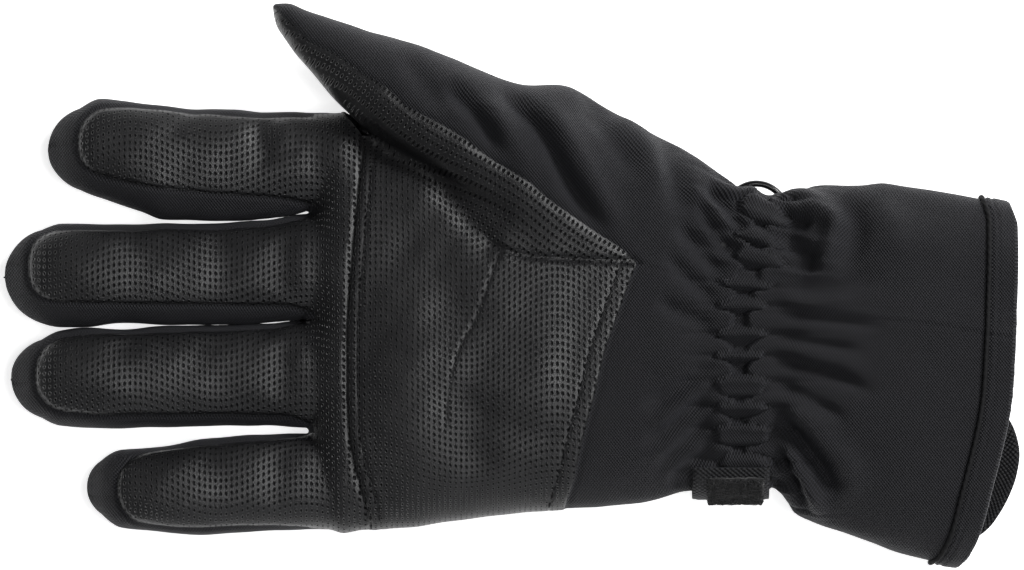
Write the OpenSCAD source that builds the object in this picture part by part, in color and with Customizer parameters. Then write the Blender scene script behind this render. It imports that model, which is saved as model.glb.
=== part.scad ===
// Insulated ski glove for the right hand, lying on its back with the palm up.
// +X runs from the fingers to the cuff, +Y to the thumb, +Z up out of the palm.
// The origin is on the table under the middle of the glove. Millimetres.

/* [Hand] */
// Distance of the finger crotches from the middle of the glove
crotch_x = -58; // [-60:0.5:-56]
// Distance of the wrist gather's start from the middle of the glove
wrist_x = 52; // [50:0.5:54]
// Distance of the cuff's start from the middle of the glove
cuff_x = 84; // [82:0.5:86]
// Roundness of the body's cross-section, 2 is an ellipse
roundness = 2.8; // [2.2:0.1:3.4]

/* [Layers] */
// Thickness of the leather and the outer fabric
skin_t = 1.2; // [0.8:0.1:1.3]
// Thickness of the insulation
padding_t = 2.2; // [1.5:0.1:2.4]
// Thickness of the lining
lining_t = 0.8; // [0.5:0.1:0.9]
// Air between two layers
layer_gap = 0.5; // [0.4:0.05:0.6]

/* [Fingers] */
// Thickness of a finger
finger_h = 22; // [20:0.5:22]
// Radius of the long edges of a finger
finger_edge_r = 8; // [6:0.5:8.5]
// Distance from the crotch to the line where a finger bends
bend_offset = 12; // [10:0.5:16]
// Index finger: length from the crotch to the tip
index_length = 81; // [74:0.5:81]
// Index finger: width
index_width = 29; // [27:0.5:29]
// Middle finger: length from the crotch to the tip
middle_length = 94.6; // [85:0.1:95]
// Middle finger: width
middle_width = 30; // [27:0.5:30]
// Ring finger: length from the crotch to the tip
ring_length = 92.5; // [83:0.5:92.5]
// Ring finger: width
ring_width = 29.6; // [27:0.1:29.6]
// Little finger: length from the crotch to the tip
little_length = 69.4; // [62:0.1:69.4]
// Little finger: width
little_width = 27.4; // [25:0.1:27.4]

/* [Movement] */
// How far a finger closes towards the palm, in degrees
finger_close = 65; // [40:1:70]
// How far a finger opens towards the back, in degrees
finger_open = 10; // [5:1:15]
// How far the thumb closes towards the palm, in degrees
thumb_close = 50; // [30:1:55]
// Play between the two sides of a bend line
bend_gap = 0.8; // [0.5:0.1:1.5]

/* [Cuff] */
// Width of the hem binding
hem_w = 7; // [5:0.5:8]
// Width of the bead beside the hem binding
bead_w = 1.3; // [1:0.1:2]

/* [Wrist strap] */
// Width of the strap's base
strap_w = 27; // [22:0.5:27]
// Thickness of the strap
strap_t = 1.1; // [0.8:0.1:1.2]
// Width of the loop and hook patches
patch_w = 16; // [12:0.5:18]
// Outer width of the D-ring
ring_outer_w = 20; // [17:0.5:20]
// Thickness of the D-ring's rod
rod_d = 2; // [1.6:0.1:2.2]

/* [Hang loop] */
// Thickness of the hang loop's tape
tape_t = 1.3; // [1:0.1:1.6]
// Height of the tape where it stands on edge
tape_w = 10; // [8:0.5:12]

/* [Hidden] */
FINGERS = ["index", "middle", "ring", "little"];

LEATHER = "#29292b";
FABRIC = "#232327";
FILL = "#d9d9d4";
FLEECE = "#3a3a3e";
WEBBING = "#1b1b1d";
PLASTIC = "#0e0e10";

// Outline of the hand, wrist and cuff: side of the little finger, thumb side,
// underside and palm side, each as distance from the middle against place
PINKY_SIDE = [[-60, -73.4], [-45, -73.6], [-10, -69.5], [15, -67], [38, -65.3], [54, -60],
              [70, -57.5], [79, -60], [86, -69.3], [104, -76], [122, -82], [134, -84], [152, -84]];
THUMB_SIDE = [[-60, 52], [-44.5, 47], [-28.4, 72], [1, 60.5], [19, 59], [41.5, 46], [54, 38],
              [65, 31], [71, 27], [80, 25.5], [86, 28], [98, 29.5], [111, 29.5], [152, 24]];
UNDERSIDE = [[-60, 1.5], [36, 1.5], [54, 8.5], [60, 9.2], [78, 9.2], [92, 4.2], [152, 3.4]];
PALM_SIDE = [[-60, 24], [-45, 29], [-20, 35], [20, 37], [45, 35], [60, 31], [78, 31],
             [90, 34], [112, 36.5], [152, 34]];

// Seam lines on the palm side
CREASE = [[-58, 47], [-44.5, 44], [-36, 40], [-26, 33.7], [-3.5, 11.2], [37, 6.5]];
THUMB_SEAM = [[-44.5, 45], [-36, 56], [-14.5, 44], [10.4, 26], [36, 7.5], [52, 0.5],
              [73, -5], [84, -6], [100, -8], [120, -11], [152, -15]];
seam_x = -45;                    // lapped seam across the palm
leather_end = [37, 16];          // slanted end of the leather, thumb side and pinky side
thumb_base_x = -42;              // start of the leather at the thumb's base
thumb_side_x = -28;              // start of the fabric on the thumb's side
seam_gap = 0.3;                  // play between two panels along the glove
seam_play = 0.5;                 // the same round the body, in degrees
// Turns round the body, in degrees, where the panels meet
palm_from = 30;                  // palm leather and the index finger's side
palm_to = 150;                   // palm leather and the little finger's side
side_to = 232;                   // little finger's side and the back
thumb_side_from = -50;           // thumb's side and the back
cuff_split = 180;                // the cuff's palm panel and its back panel
cuff_seam = [110, -9];           // point on the cuff's seam that shares out its panels
// Outline of the flat back of the hand
BACK = [[-57, -66], [-10, -62], [36, -57], [46, -48], [48, 20], [40, 34], [22, 47],
        [0, 51], [-20, 56], [-29, 60], [-44, 42], [-57, 44]];
// The padding and the lining leave the thumb's mouth open: half its turn against place
THUMB_MOUTH = [[-60, 3], [-48, 3], [-44, 42], [-30, 42], [-26, 3], [90, 3]];
wrist_share = 0.75;              // share of the lining's length that lies before the wrist
// Hem line against the place across the cuff, from pinky side to thumb side
HEM_LINE = [[-1, 135.5], [-0.6, 142.5], [0, 149], [1, 150.6]];
hem_out = 0.7;                   // how far the binding stands out
hem_in = 2.4;                    // how far it reaches in
bead_out = 1;
bead_in = 0.8;

// Wrist elastic: starts of its two bands, their width and thickness
ELASTIC_X = [60, 72];
elastic_w = 6;
elastic_t = 1.2;

// Layers, as depths below the outer surface
pad_0 = skin_t + layer_gap;
pad_1 = pad_0 + padding_t;
lining_0 = pad_1 + layer_gap;
lining_1 = lining_0 + lining_t;

// Fingers: length, width, place of the root, and how far the tip leans sideways
FINGER_LENGTH = [index_length, middle_length, ring_length, little_length];
FINGER_WIDTH = [index_width, middle_width, ring_width, little_width];
FINGER_Y = [37.2, 5.6, -25.2, -58];
FINGER_LEAN = [2.6, -2.2, -2.4, -3.5];
finger_z = finger_h / 2 + 0.2;
front_z = 6.5;                   // height of the leather's edge above mid-thickness
back_z = -7;                     // height of the back's edge

// Thumb: measured from the web, along the thumb and across it
web = [-44.5, 47];
along = [-0.843, 0.538];
across = [0.538, 0.843];
thumb_length = 42.6;
thumb_bend = 14;
thumb_z = 19.5;
THUMB_LOW = [[0, 0], [13.7, 3], [20, 5], [26.9, 7], [35.3, 10], [42.6, 12]];
THUMB_HIGH = [[0, 29.5], [13.7, 25.4], [20, 23.9], [26.9, 22], [35.3, 20.6], [42.6, 20.6]];
thumb_leather = [60, 195];       // turns round the thumb that the leather covers
THUMB_FLOOR = [[0, 6], [20, 9], [42.6, 12]];
THUMB_TOP = [[0, 34], [20, 29], [42.6, 25]];

// Wrist strap: middle of its width, mid-heights of its base and its tail
strap_x = 67.5;
base_z = 7.65;
side_r = 12;                     // turn round the little finger's side of the wrist
side_y = -53.5;
base_end_y = -6;
side_start = 125;                // turn where the base starts, above the side
patch_start = 150;               // turn where the loop patch starts
patch_t = 0.8;
patch_gap = 0.5;
tail_z = 4.2;
tail_y = [-42, 8];
hook_inset = 2;                  // hook patch from the tail's end, and its length
hook_length = 32;
narrower = 4;                    // the tail and the anchor are narrower than the base
anchor_end = [10.2, 5.5];
ANCHOR = [[16, 8.9], [13, 8], anchor_end];

// D-ring: middle of its bar, and its reach from the bar's back to the bow's front
ring_x = 73.5;
bar_y = 19.5;
bar_z = 9;
ring_depth = 13;
tab_w = 8;
tab_t = 0.8;
TAB_START = [18.3, 11];          // ends of the tab, on the wrist
TAB_END = [22.3, 11.6];

// Hang loop: its underside, the middle of the tape in plan from under the hem round to
// under it again, its flat face, and the bar tack that holds it
loop_z = 0.3;
LOOP_PATH = [[149.3, -39.8], [151, -43.2], [152, -47], [152.2, -51], [151.2, -56],
             [149.4, -61.5], [147, -67], [144.2, -71.8], [141.6, -74.4]];
LOOP_FACE = [[148.5, -39.2], [151.2, -42.6], [143.2, -55.5], [141.6, -58.5],
             [143.2, -72.4], [140.8, -75], [137, -66], [136.6, -56], [138.5, -50]];
LOOP_TACK = [[137, -56], [138.6, -50], [141.4, -50.6], [139.8, -56.7]];
tack_t = 0.4;
tack_gap = 0.3;

function mix(a, b, u) = a + (b - a) * u;
function signed_pow(v, e) = sign(v) * pow(abs(v), e);
function ring_point(lo, hi, t) = (lo + hi) / 2 + (hi - lo) / 2 * signed_pow(t, 2 / roundness);

// Point on the body at place x and turn t (0 thumb side, 90 palm), d below the surface
function body_point(x, t, d) = [
    x,
    ring_point(lookup(x, PINKY_SIDE) + d, lookup(x, THUMB_SIDE) - d, cos(t)),
    ring_point(lookup(x, UNDERSIDE) + d, lookup(x, PALM_SIDE) - d, sin(t))
];
// Turn at which the palm side of the body passes through y
function turn_at(x, y) = let (
    a = lookup(x, PINKY_SIDE),
    b = lookup(x, THUMB_SIDE),
    c = min(max((y - (a + b) / 2) / ((b - a) / 2), -1), 1)
) acos(signed_pow(c, roundness / 2));
function seam_turn(x) = turn_at(x, min(lookup(x, THUMB_SEAM), lookup(x, THUMB_SIDE) - 2));
function crease_turn(x) = turn_at(x, lookup(x, CREASE));
function hem_x(t) = lookup(cos(t), HEM_LINE);

// Point on the thumb at distance s along it and turn t, u is 1 at its tip
function thumb_point(s, t, d, u) = let (
    close = u < 0.7 ? 1 : sqrt(max(1 - pow((u - 0.7) / 0.3, 2), 0.002)),
    lo = lookup(s, THUMB_LOW) + d,
    hi = lookup(s, THUMB_HIGH) - d,
    z0 = lookup(s, THUMB_FLOOR) + d,
    z1 = lookup(s, THUMB_TOP) - d,
    n = (lo + hi) / 2 + (hi - lo) / 2 * close * signed_pow(cos(t), 2 / roundness),
    z = (z0 + z1) / 2 + (z1 - z0) / 2 * close * signed_pow(sin(t), 2 / roundness)
) [web[0] + along[0] * s + across[0] * n, web[1] + along[1] * s + across[1] * n, z];
// How far the bend notch reaches from the bend line at height z above it
function notch(z, close) = bend_gap + abs(z) * tan(((z > 0 ? close : finger_open) / 2) + 1.5);
function thumb_notch(t) = notch(ring_point(lookup(thumb_bend, THUMB_FLOOR) - thumb_z,
                                           lookup(thumb_bend, THUMB_TOP) - thumb_z, sin(t)),
                                thumb_close);

// A curved sheet between the depths d0 and d1, from pt(u, v, d) with u and v from 0 to 1
module sheet(nu, nv, d0, d1, pt, closed = false) {
    row = closed ? nv : nv + 1;
    layer = (nu + 1) * row;
    points = [for (d = [d0, d1], i = [0:nu], j = [0:row - 1]) pt(i / nu, j / nv, d)];
    id = function (k, i, j) k * layer + i * row + (j % row);
    across_u = [for (i = [0:nu - 1], j = [0:nv - 1]) each [
        [id(0, i, j), id(0, i + 1, j), id(0, i + 1, j + 1), id(0, i, j + 1)],
        [id(1, i, j), id(1, i, j + 1), id(1, i + 1, j + 1), id(1, i + 1, j)]]];
    ends = [for (j = [0:nv - 1]) each [
        [id(0, 0, j), id(0, 0, j + 1), id(1, 0, j + 1), id(1, 0, j)],
        [id(0, nu, j), id(1, nu, j), id(1, nu, j + 1), id(0, nu, j + 1)]]];
    edges = closed ? [] : [for (i = [0:nu - 1]) each [
        [id(0, i, 0), id(1, i, 0), id(1, i + 1, 0), id(0, i + 1, 0)],
        [id(0, i, nv), id(0, i + 1, nv), id(1, i + 1, nv), id(1, i, nv)]]];
    quads = concat(across_u, ends, edges);
    polyhedron(points, [for (q = quads) each [[q[0], q[1], q[2]], [q[0], q[2], q[3]]]]);
}

// Outline of a strip of thickness t that follows a list of points
function strip_side(path, t) = [for (i = [0:len(path) - 1]) let (
    a = path[max(i - 1, 0)],
    b = path[min(i + 1, len(path) - 1)],
    d = (b - a) / norm(b - a)
) path[i] + t / 2 * [-d[1], d[0]]];
function reversed(list) = [for (i = [len(list) - 1:-1:0]) list[i]];
module strip(path, t) {
    polygon(concat(strip_side(path, t), reversed(strip_side(path, -t))));
}
function arc(centre, r, a0, a1, steps) = [for (i = [0:steps])
    centre + r * [cos(mix(a0, a1, i / steps)), sin(mix(a0, a1, i / steps))]];
// Turns a profile drawn in Y and Z into a piece of width w about x
module across_wrist(x, w) {
    translate([x - w / 2, 0, 0]) rotate([90, 0, 90]) linear_extrude(w) children();
}

/* Hand */

module palm_panel_upper() {
    color(LEATHER) sheet(3, 14, 0, skin_t, function (u, v, d)
        body_point(mix(crotch_x + seam_gap, seam_x, u), mix(palm_from, palm_to, v), d));
}
module palm_panel_lower() {
    color(LEATHER) sheet(12, 14, 0, skin_t, function (u, v, d)
        let (x = mix(seam_x + seam_gap, mix(leather_end[0], leather_end[1], v), u))
        body_point(x, mix(crease_turn(x), palm_to, v), d));
}
module thumb_base_front() {
    color(LEATHER) sheet(9, 5, 0, skin_t, function (u, v, d)
        let (x = mix(thumb_base_x, leather_end[0] - 1, u), t0 = seam_turn(x))
        body_point(x, mix(t0, max(crease_turn(x) - 0.6, t0 + 1), v), d));
}
module heel_panel() {
    color(FABRIC) sheet(5, 14, 0, skin_t, function (u, v, d)
        let (x0 = mix(leather_end[0], leather_end[1], v) + seam_gap + 0.1,
             x = mix(x0, wrist_x - seam_gap, u),
             t0 = mix(crease_turn(x0), seam_turn(x) + seam_play, min(2 * u, 1)))
        body_point(x, mix(t0, palm_to, v), d));
}
module thumb_side_panel() {
    color(FABRIC) sheet(12, 14, 0, skin_t, function (u, v, d)
        let (x = mix(thumb_side_x, wrist_x - seam_gap, u))
        body_point(x, mix(thumb_side_from, seam_turn(x) - seam_play, v), d));
}
module back_panel() {
    color(FABRIC) linear_extrude(skin_t) polygon(BACK);
}
module outer_side_gusset() {
    color(FABRIC) sheet(14, 8, 0, skin_t, function (u, v, d)
        body_point(mix(crotch_x + seam_gap, wrist_x - seam_gap, u),
                   mix(palm_to + seam_play, side_to, v), d));
}
module hand_insulation() {
    color(FILL) sheet(18, 28, pad_0, pad_1, function (u, v, d)
        let (x = mix(crotch_x + seam_gap, wrist_x, u), gap = lookup(x, THUMB_MOUTH))
        body_point(x, mix(gap, 360 - gap, v), d));
}
// It has the padding's stations up to the wrist, and six more to the cuff
module hand_lining() {
    color(FLEECE) sheet(24, 28, lining_0, lining_1, function (u, v, d)
        let (x = u < wrist_share ? mix(crotch_x + seam_gap, wrist_x, u / wrist_share)
                                 : mix(wrist_x, cuff_x, (u - wrist_share) / (1 - wrist_share)),
             gap = lookup(x, THUMB_MOUTH))
        body_point(x, mix(gap, 360 - gap, v), d));
}

/* Wrist and cuff */

module wrist_gather() {
    color(FABRIC) sheet(6, 32, 0, skin_t, function (u, v, d)
        body_point(mix(wrist_x, cuff_x - seam_gap, u), 360 * v, d), closed = true);
}
module wrist_elastic() {
    color(WEBBING) for (x = ELASTIC_X)
        sheet(2, 32, pad_0, pad_0 + elastic_t, function (u, v, d)
            body_point(x + elastic_w * u, 360 * v, d), closed = true);
}
function cuff_end(t) = hem_x(t) - hem_w - bead_w - seam_gap + 0.1;
module cuff_palm_panel() {
    color(FABRIC) sheet(6, 14, 0, skin_t, function (u, v, d)
        let (t = mix(turn_at(cuff_seam[0], cuff_seam[1]), cuff_split, v),
             x = mix(cuff_x, cuff_end(t), u))
        body_point(x, mix(seam_turn(x) + seam_play, cuff_split, v), d));
}
module cuff_back_panel() {
    color(FABRIC) sheet(6, 22, 0, skin_t, function (u, v, d)
        let (t = mix(cuff_split, 360 + turn_at(cuff_seam[0], cuff_seam[1]), v),
             x = mix(cuff_x, cuff_end(t), u))
        body_point(x, mix(cuff_split + seam_play, 360 + seam_turn(x) - seam_play, v), d));
}
module cuff_lining() {
    color(FLEECE) sheet(6, 32, pad_0, pad_0 + lining_t, function (u, v, d)
        let (t = 360 * v)
        body_point(mix(cuff_x + seam_gap, hem_x(t) - hem_w, u), t, d), closed = true);
}
module hem_binding() {
    color(FABRIC) sheet(2, 40, -hem_out, hem_in, function (u, v, d)
        body_point(hem_x(360 * v) - hem_w * (1 - u), 360 * v, d), closed = true);
}
module hem_bead() {
    color(FABRIC) sheet(1, 40, -bead_out, bead_in, function (u, v, d)
        body_point(hem_x(360 * v) - hem_w - 0.1 - bead_w * (1 - u), 360 * v, d), closed = true);
}

/* Fingers */

// Half of a finger's cross-section, d below the surface
function half_section(w, d) = let (
    r = max(finger_edge_r - d, 1),
    a = w / 2 - d - r,
    b = finger_h / 2 - d - r
) concat([[0, -b - r]], arc([a, -b], r, -90, 0, 4), arc([a, b], r, 0, 90, 4), [[0, b + r]]);
module finger_form(length, w, d) {
    half = half_section(w, d);
    straight = length - w / 2;
    translate([-straight, 0, 0]) {
        rotate([90, 0, 90]) linear_extrude(straight + 4)
            polygon(concat(half, [for (p = reversed(half)) if (p[0] > 0) [-p[0], p[1]]]));
        rotate([0, 0, 90]) rotate_extrude(angle = 180, $fn = 48) polygon(half);
    }
}
// Space of a finger between the heights z0 and z1, beyond its bend line
module finger_space(z0, z1) {
    reach = function (z) -bend_offset - notch(z, finger_close);
    rotate([90, 0, 0]) linear_extrude(60, center = true)
        polygon([[-120, z0], [reach(z0), z0],
                 if (z0 < 0 && z1 > 0) [reach(0), 0],
                 [reach(z1), z1], [-120, z1]]);
}
// The same space on the hand's side of the bend line
module root_space() {
    top = finger_h / 2 + 1;
    reach = function (z) notch(z, finger_close) - bend_offset;
    rotate([90, 0, 0]) linear_extrude(60, center = true)
        polygon([[-0.9, -top], [-0.9, top], [reach(top), top], [reach(0), 0], [reach(-top), -top]]);
}
module place_finger(i) {
    lean = asin(FINGER_LEAN[i] / FINGER_LENGTH[i]);
    translate([crotch_x, FINGER_Y[i], finger_z]) rotate([0, 0, -lean]) children();
}
module finger_layer(i, d0, d1, z0, z1) {
    place_finger(i) intersection() {
        difference() {
            finger_form(FINGER_LENGTH[i], FINGER_WIDTH[i], d0);
            finger_form(FINGER_LENGTH[i], FINGER_WIDTH[i], d1);
        }
        finger_space(z0, z1);
    }
}
module finger_front(i) {
    color(LEATHER) finger_layer(i, 0, skin_t, front_z, finger_h);
}
module finger_fourchette(i) {
    color(FABRIC) finger_layer(i, 0, skin_t, back_z, front_z);
}
module finger_back(i) {
    color(FABRIC) finger_layer(i, 0, skin_t, -finger_h, back_z);
}
module finger_insulation(i) {
    color(FILL) finger_layer(i, pad_0, pad_1, -finger_h, finger_h);
}
module finger_lining(i) {
    color(FLEECE) finger_layer(i, lining_0, lining_1, -finger_h, finger_h);
}
module finger_root_gussets() {
    color(FABRIC) for (i = [0:3])
        place_finger(i) intersection() {
            difference() {
                finger_form(FINGER_LENGTH[i], FINGER_WIDTH[i], 0);
                finger_form(FINGER_LENGTH[i], FINGER_WIDTH[i], lining_1);
            }
            root_space();
        }
}

/* Thumb */

module thumb_layer(d0, d1, t0, t1, nv, closed = false) {
    sheet(10, nv, d0, d1, function (u, v, d)
        let (t = mix(t0, t1, v))
        thumb_point(mix(thumb_bend + thumb_notch(t), thumb_length - d, u), t, d, u),
        closed = closed);
}
module thumb_front() {
    color(LEATHER) thumb_layer(0, skin_t, thumb_leather[0], thumb_leather[1], 10);
}
module thumb_back() {
    color(FABRIC) thumb_layer(0, skin_t, thumb_leather[1] + seam_play,
                              360 + thumb_leather[0] - seam_play, 14);
}
module thumb_insulation() {
    color(FILL) thumb_layer(pad_0, pad_1, 0, 360, 20, closed = true);
}
module thumb_lining() {
    color(FLEECE) thumb_layer(lining_0, lining_1, 0, 360, 20, closed = true);
}
module thumb_root_gusset() {
    color(FABRIC) sheet(2, 24, 0, lining_1, function (u, v, d)
        thumb_point(mix(0.5, thumb_bend - thumb_notch(360 * v), u), 360 * v, d, 0),
        closed = true);
}

/* Wrist strap and D-ring */

module strap_base() {
    side = arc([side_y, base_z + side_r], side_r, side_start, 270, 16);
    color(WEBBING) across_wrist(strap_x, strap_w)
        strip(concat(side, [[base_end_y, base_z]]), strap_t);
}
module strap_loop_patch() {
    off = strap_t / 2 + patch_gap;
    side = arc([side_y, base_z + side_r], side_r + off, patch_start, 270, 14);
    color(WEBBING) across_wrist(strap_x, patch_w)
        strip(concat(side, [[base_end_y - 1, base_z - off]]), patch_t);
}
module strap_anchor() {
    color(WEBBING) across_wrist(strap_x, strap_w - narrower) strip(ANCHOR, strap_t);
}
module strap_tail() {
    color(WEBBING) across_wrist(strap_x, strap_w - narrower)
        strip([[tail_y[1], tail_z], [tail_y[0], tail_z]], strap_t);
}
module strap_hook_patch() {
    color(PLASTIC) across_wrist(strap_x, patch_w)
        translate([tail_y[0] + hook_inset, tail_z + strap_t / 2]) square([hook_length, patch_t]);
}
// A bow with its straight bar, lying in X and Y, the bow towards +Y
module d_ring() {
    bow_r = ring_outer_w / 2 - rod_d / 2;
    leg = ring_depth - bow_r - rod_d;
    color(PLASTIC) translate([ring_x, bar_y, bar_z]) {
        translate([0, leg, 0]) {
            rotate_extrude(angle = 180, $fn = 64) translate([bow_r, 0]) circle(d = rod_d, $fn = 24);
            for (x = [-bow_r, bow_r])
                translate([x, 0, 0]) rotate([90, 0, 0]) cylinder(h = leg, d = rod_d, $fn = 24);
        }
        translate([-bow_r - rod_d / 2, 0, 0]) rotate([0, 90, 0])
            cylinder(h = ring_outer_w, d = rod_d, $fn = 24);
    }
}
// Narrow tape sewn to the wrist, looped round the D-ring's bar
module ring_tab() {
    turn = arc([bar_y, bar_z], rod_d / 2 + tab_t / 2 + 0.5, 130, 390, 16);
    color(WEBBING) across_wrist(ring_x, tab_w)
        strip(concat([TAB_START], turn, [TAB_END]), tab_t);
}

/* Hang loop */

module hang_loop() {
    color(WEBBING) translate([0, 0, loop_z]) {
        linear_extrude(tape_w) strip(LOOP_PATH, tape_t);
        linear_extrude(tape_t) polygon(LOOP_FACE);
    }
}
module hang_loop_bartack() {
    color(WEBBING) translate([0, 0, loop_z + tape_t + tack_gap]) linear_extrude(tack_t)
        polygon(LOOP_TACK);
}

palm_panel_upper();
palm_panel_lower();
thumb_base_front();
heel_panel();
thumb_side_panel();
back_panel();
outer_side_gusset();
finger_root_gussets();
thumb_root_gusset();
hand_insulation();
hand_lining();
wrist_gather();
wrist_elastic();
cuff_palm_panel();
cuff_back_panel();
cuff_lining();
hem_binding();
hem_bead();
for (i = [0:3]) {
    finger_front(i);
    finger_fourchette(i);
    finger_back(i);
    finger_insulation(i);
    finger_lining(i);
}
thumb_front();
thumb_back();
thumb_insulation();
thumb_lining();
strap_base();
strap_loop_patch();
strap_anchor();
strap_tail();
strap_hook_patch();
d_ring();
ring_tab();
hang_loop();
hang_loop_bartack();
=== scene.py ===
"""Looks of a padded ski glove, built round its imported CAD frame. Millimetres inside, metres in Blender."""

import math

import bpy
import numpy as np
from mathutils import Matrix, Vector
from mathutils.bvhtree import BVHTree


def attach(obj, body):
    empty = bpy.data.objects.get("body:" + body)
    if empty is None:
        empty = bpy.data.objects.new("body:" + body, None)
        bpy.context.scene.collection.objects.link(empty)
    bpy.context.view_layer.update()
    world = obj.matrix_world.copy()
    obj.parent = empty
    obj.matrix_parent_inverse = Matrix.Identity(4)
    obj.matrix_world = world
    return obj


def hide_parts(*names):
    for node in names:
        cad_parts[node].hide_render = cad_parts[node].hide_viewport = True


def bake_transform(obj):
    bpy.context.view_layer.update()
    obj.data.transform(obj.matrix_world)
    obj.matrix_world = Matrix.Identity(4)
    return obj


bl_info = {
    "name": "Ski Glove",
    "version": (1, 0, 0),
    "blender": (4, 5, 0),
    "location": "View3D > Sidebar > Glove",
    "description": "Sews a padded ski glove round its frame",
    "category": "Object",
}

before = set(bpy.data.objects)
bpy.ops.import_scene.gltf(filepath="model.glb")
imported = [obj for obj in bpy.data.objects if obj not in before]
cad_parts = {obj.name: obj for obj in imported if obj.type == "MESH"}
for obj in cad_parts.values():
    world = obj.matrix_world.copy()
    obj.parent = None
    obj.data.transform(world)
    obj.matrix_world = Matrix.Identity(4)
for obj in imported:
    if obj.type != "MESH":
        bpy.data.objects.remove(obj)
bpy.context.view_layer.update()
MM = 0.001
FINGERS = ("index", "middle", "ring", "little")

# ---------------------------------------------------------------- curves


def curve(x, knots):
    """A smooth line through knots of (place, value) that never swings past them."""
    k = np.asarray(knots, float)
    px, py = k[:, 0], k[:, 1]
    h = np.diff(px)
    d = np.diff(py) / h
    m = np.zeros_like(py)
    m[0], m[-1] = d[0], d[-1]
    same = d[:-1] * d[1:] > 0
    w1, w2 = 2 * h[1:] + h[:-1], h[1:] + 2 * h[:-1]
    with np.errstate(divide="ignore", invalid="ignore"):
        m[1:-1] = np.where(same, (w1 + w2) / (w1 / d[:-1] + w2 / d[1:]), 0)
    x = np.clip(x, px[0], px[-1])
    i = np.clip(np.searchsorted(px, x) - 1, 0, len(px) - 2)
    t = (x - px[i]) / h[i]
    a, b = 2 * t**3 - 3 * t**2 + 1, t**3 - 2 * t**2 + t
    return a * py[i] + b * h[i] * m[i] + (1 - a) * py[i + 1] + (t**3 - t**2) * h[i] * m[i + 1]


def step(a, b, x):
    """0 below a, 1 above b, smooth between."""
    t = np.clip((x - a) / (b - a), 0, 1)
    return t * t * (3 - 2 * t)


def dip(d, width):
    """1 on a line, falling off to both sides."""
    return np.exp(-((d / width) ** 2))


def join(a, b, k):
    """Union of two fields with a fillet of size k."""
    h = np.clip(0.5 + 0.5 * (b - a) / k, 0, 1)
    return b + (a - b) * h - k * h * (1 - h)


def across(x, y, knots):
    """Signed distance to the line y(x) through the knots, above 0 on its +Y side."""
    k = curve(x, knots)
    slope = (curve(x + 0.5, knots) - curve(x - 0.5, knots))
    return (y - k) / np.sqrt(1 + slope**2)


def near_path(p, path, reach=14):
    """Distance of points to a path in the plane, and the share of the way along it."""
    path = np.asarray(path, float)
    d, s = np.full(len(p), 99.0), np.zeros(len(p))
    box = np.all((p > path.min(0) - reach) & (p < path.max(0) + reach), axis=1)
    q = p[box]
    best, at = np.full(len(q), 99.0), np.zeros(len(q))
    length = np.linalg.norm(np.diff(path, axis=0), axis=1)
    start = np.concatenate([[0], np.cumsum(length)])
    for a, b, n, s0 in zip(path[:-1], path[1:], length, start):
        t = np.clip(((q - a) @ (b - a)) / n**2, 0, 1)
        e = np.hypot(*(q - a - t[:, None] * (b - a)).T)
        at = np.where(e < best, s0 + t * n, at)
        best = np.minimum(best, e)
    d[box], s[box] = best, at / start[-1]
    return d, s


def smooth_path(points, n=8):
    """A rounded path through given points."""
    p = np.asarray(points, float)
    t = np.arange(len(p))
    u = np.linspace(0, len(p) - 1, (len(p) - 1) * n + 1)
    return np.stack([curve(u, np.stack([t, p[:, i]], 1)) for i in range(p.shape[1])], 1)


def waves(p, length, seed, count=7):
    """Soft seeded undulation of about that wavelength, from -1 to 1."""
    rng = np.random.default_rng(seed)
    total = 0
    for _ in range(count):
        k = rng.normal(size=3)
        k *= 2 * math.pi / (length * rng.uniform(0.7, 1.4)) / np.linalg.norm(k)
        total = total + np.sin(p @ k + rng.uniform(0, 2 * math.pi))
    return total / math.sqrt(count) / 1.4


# ---------------------------------------------------------------- the glove's form

# Hand, wrist and cuff: outlines against the place along the glove
PINKY_SIDE = [(-60, -73.4), (-45, -73.6), (-10, -70), (15, -67.4), (38, -65.3), (54, -60.5),
              (70, -58), (79, -60.5), (86, -69.3), (104, -76), (122, -82), (134, -84), (152, -84)]
HAND_THUMB_SIDE = [(-60, 51), (-44, 46), (-30, 45), (0, 44), (30, 44), (45, 41), (54, 38),
                   (65, 31), (70, 27.5), (78, 25.5), (86, 28), (98, 29.5), (111, 29.5), (152, 24)]
TOP = [(-60, 24), (-45, 27.5), (-25, 31.5), (0, 33.5), (25, 34.5), (45, 33.5), (57, 31), (67, 30),
       (78, 30.5), (90, 33.5), (112, 36), (152, 33.5)]
UNDER = [(-60, 0.3), (36, 0.3), (50, 5), (60, 9.2), (78, 9.2), (90, 4), (104, 2.4), (152, 2.4)]
HEM = [(-1, 133.5), (-0.95, 136.2), (-0.6, 142.5), (0, 149), (0.88, 150.6), (1, 148.6)]

# Thumb, in its own frame from the web: along it, across it
WEB = np.array([-44.5, 47.0])
ALONG = np.array([-0.843, 0.538])
ACROSS = np.array([0.538, 0.843])
THUMB_LOW = [(-100, -8), (-54, -8), (-47, -5), (-31, -2), (-23, -1.3), (-11, -1.3), (0, 0),
             (13.7, 3), (20, 5), (26.9, 7), (35.3, 10.5), (38.6, 12), (42.4, 14.5)]
THUMB_HIGH = [(-100, 44), (-88, 45.4), (-54, 44.5), (-47, 44), (-31, 35.9), (-23, 34), (-11, 32),
              (0, 29.7), (13.7, 25.4), (20, 23.9), (26.9, 22), (35.3, 20.2), (38.6, 19.8), (42.4, 18.6)]
THUMB_UNDER = [(-100, 6), (-88, 2), (-73, 1), (-23, 1.5), (0, 4), (13.7, 7), (26.9, 9), (42, 12)]
THUMB_TOP = [(-100, 31), (-88, 34), (-73, 36), (-23, 38.3), (0, 36), (13.7, 32), (26.9, 28), (42, 22.5)]

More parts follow.
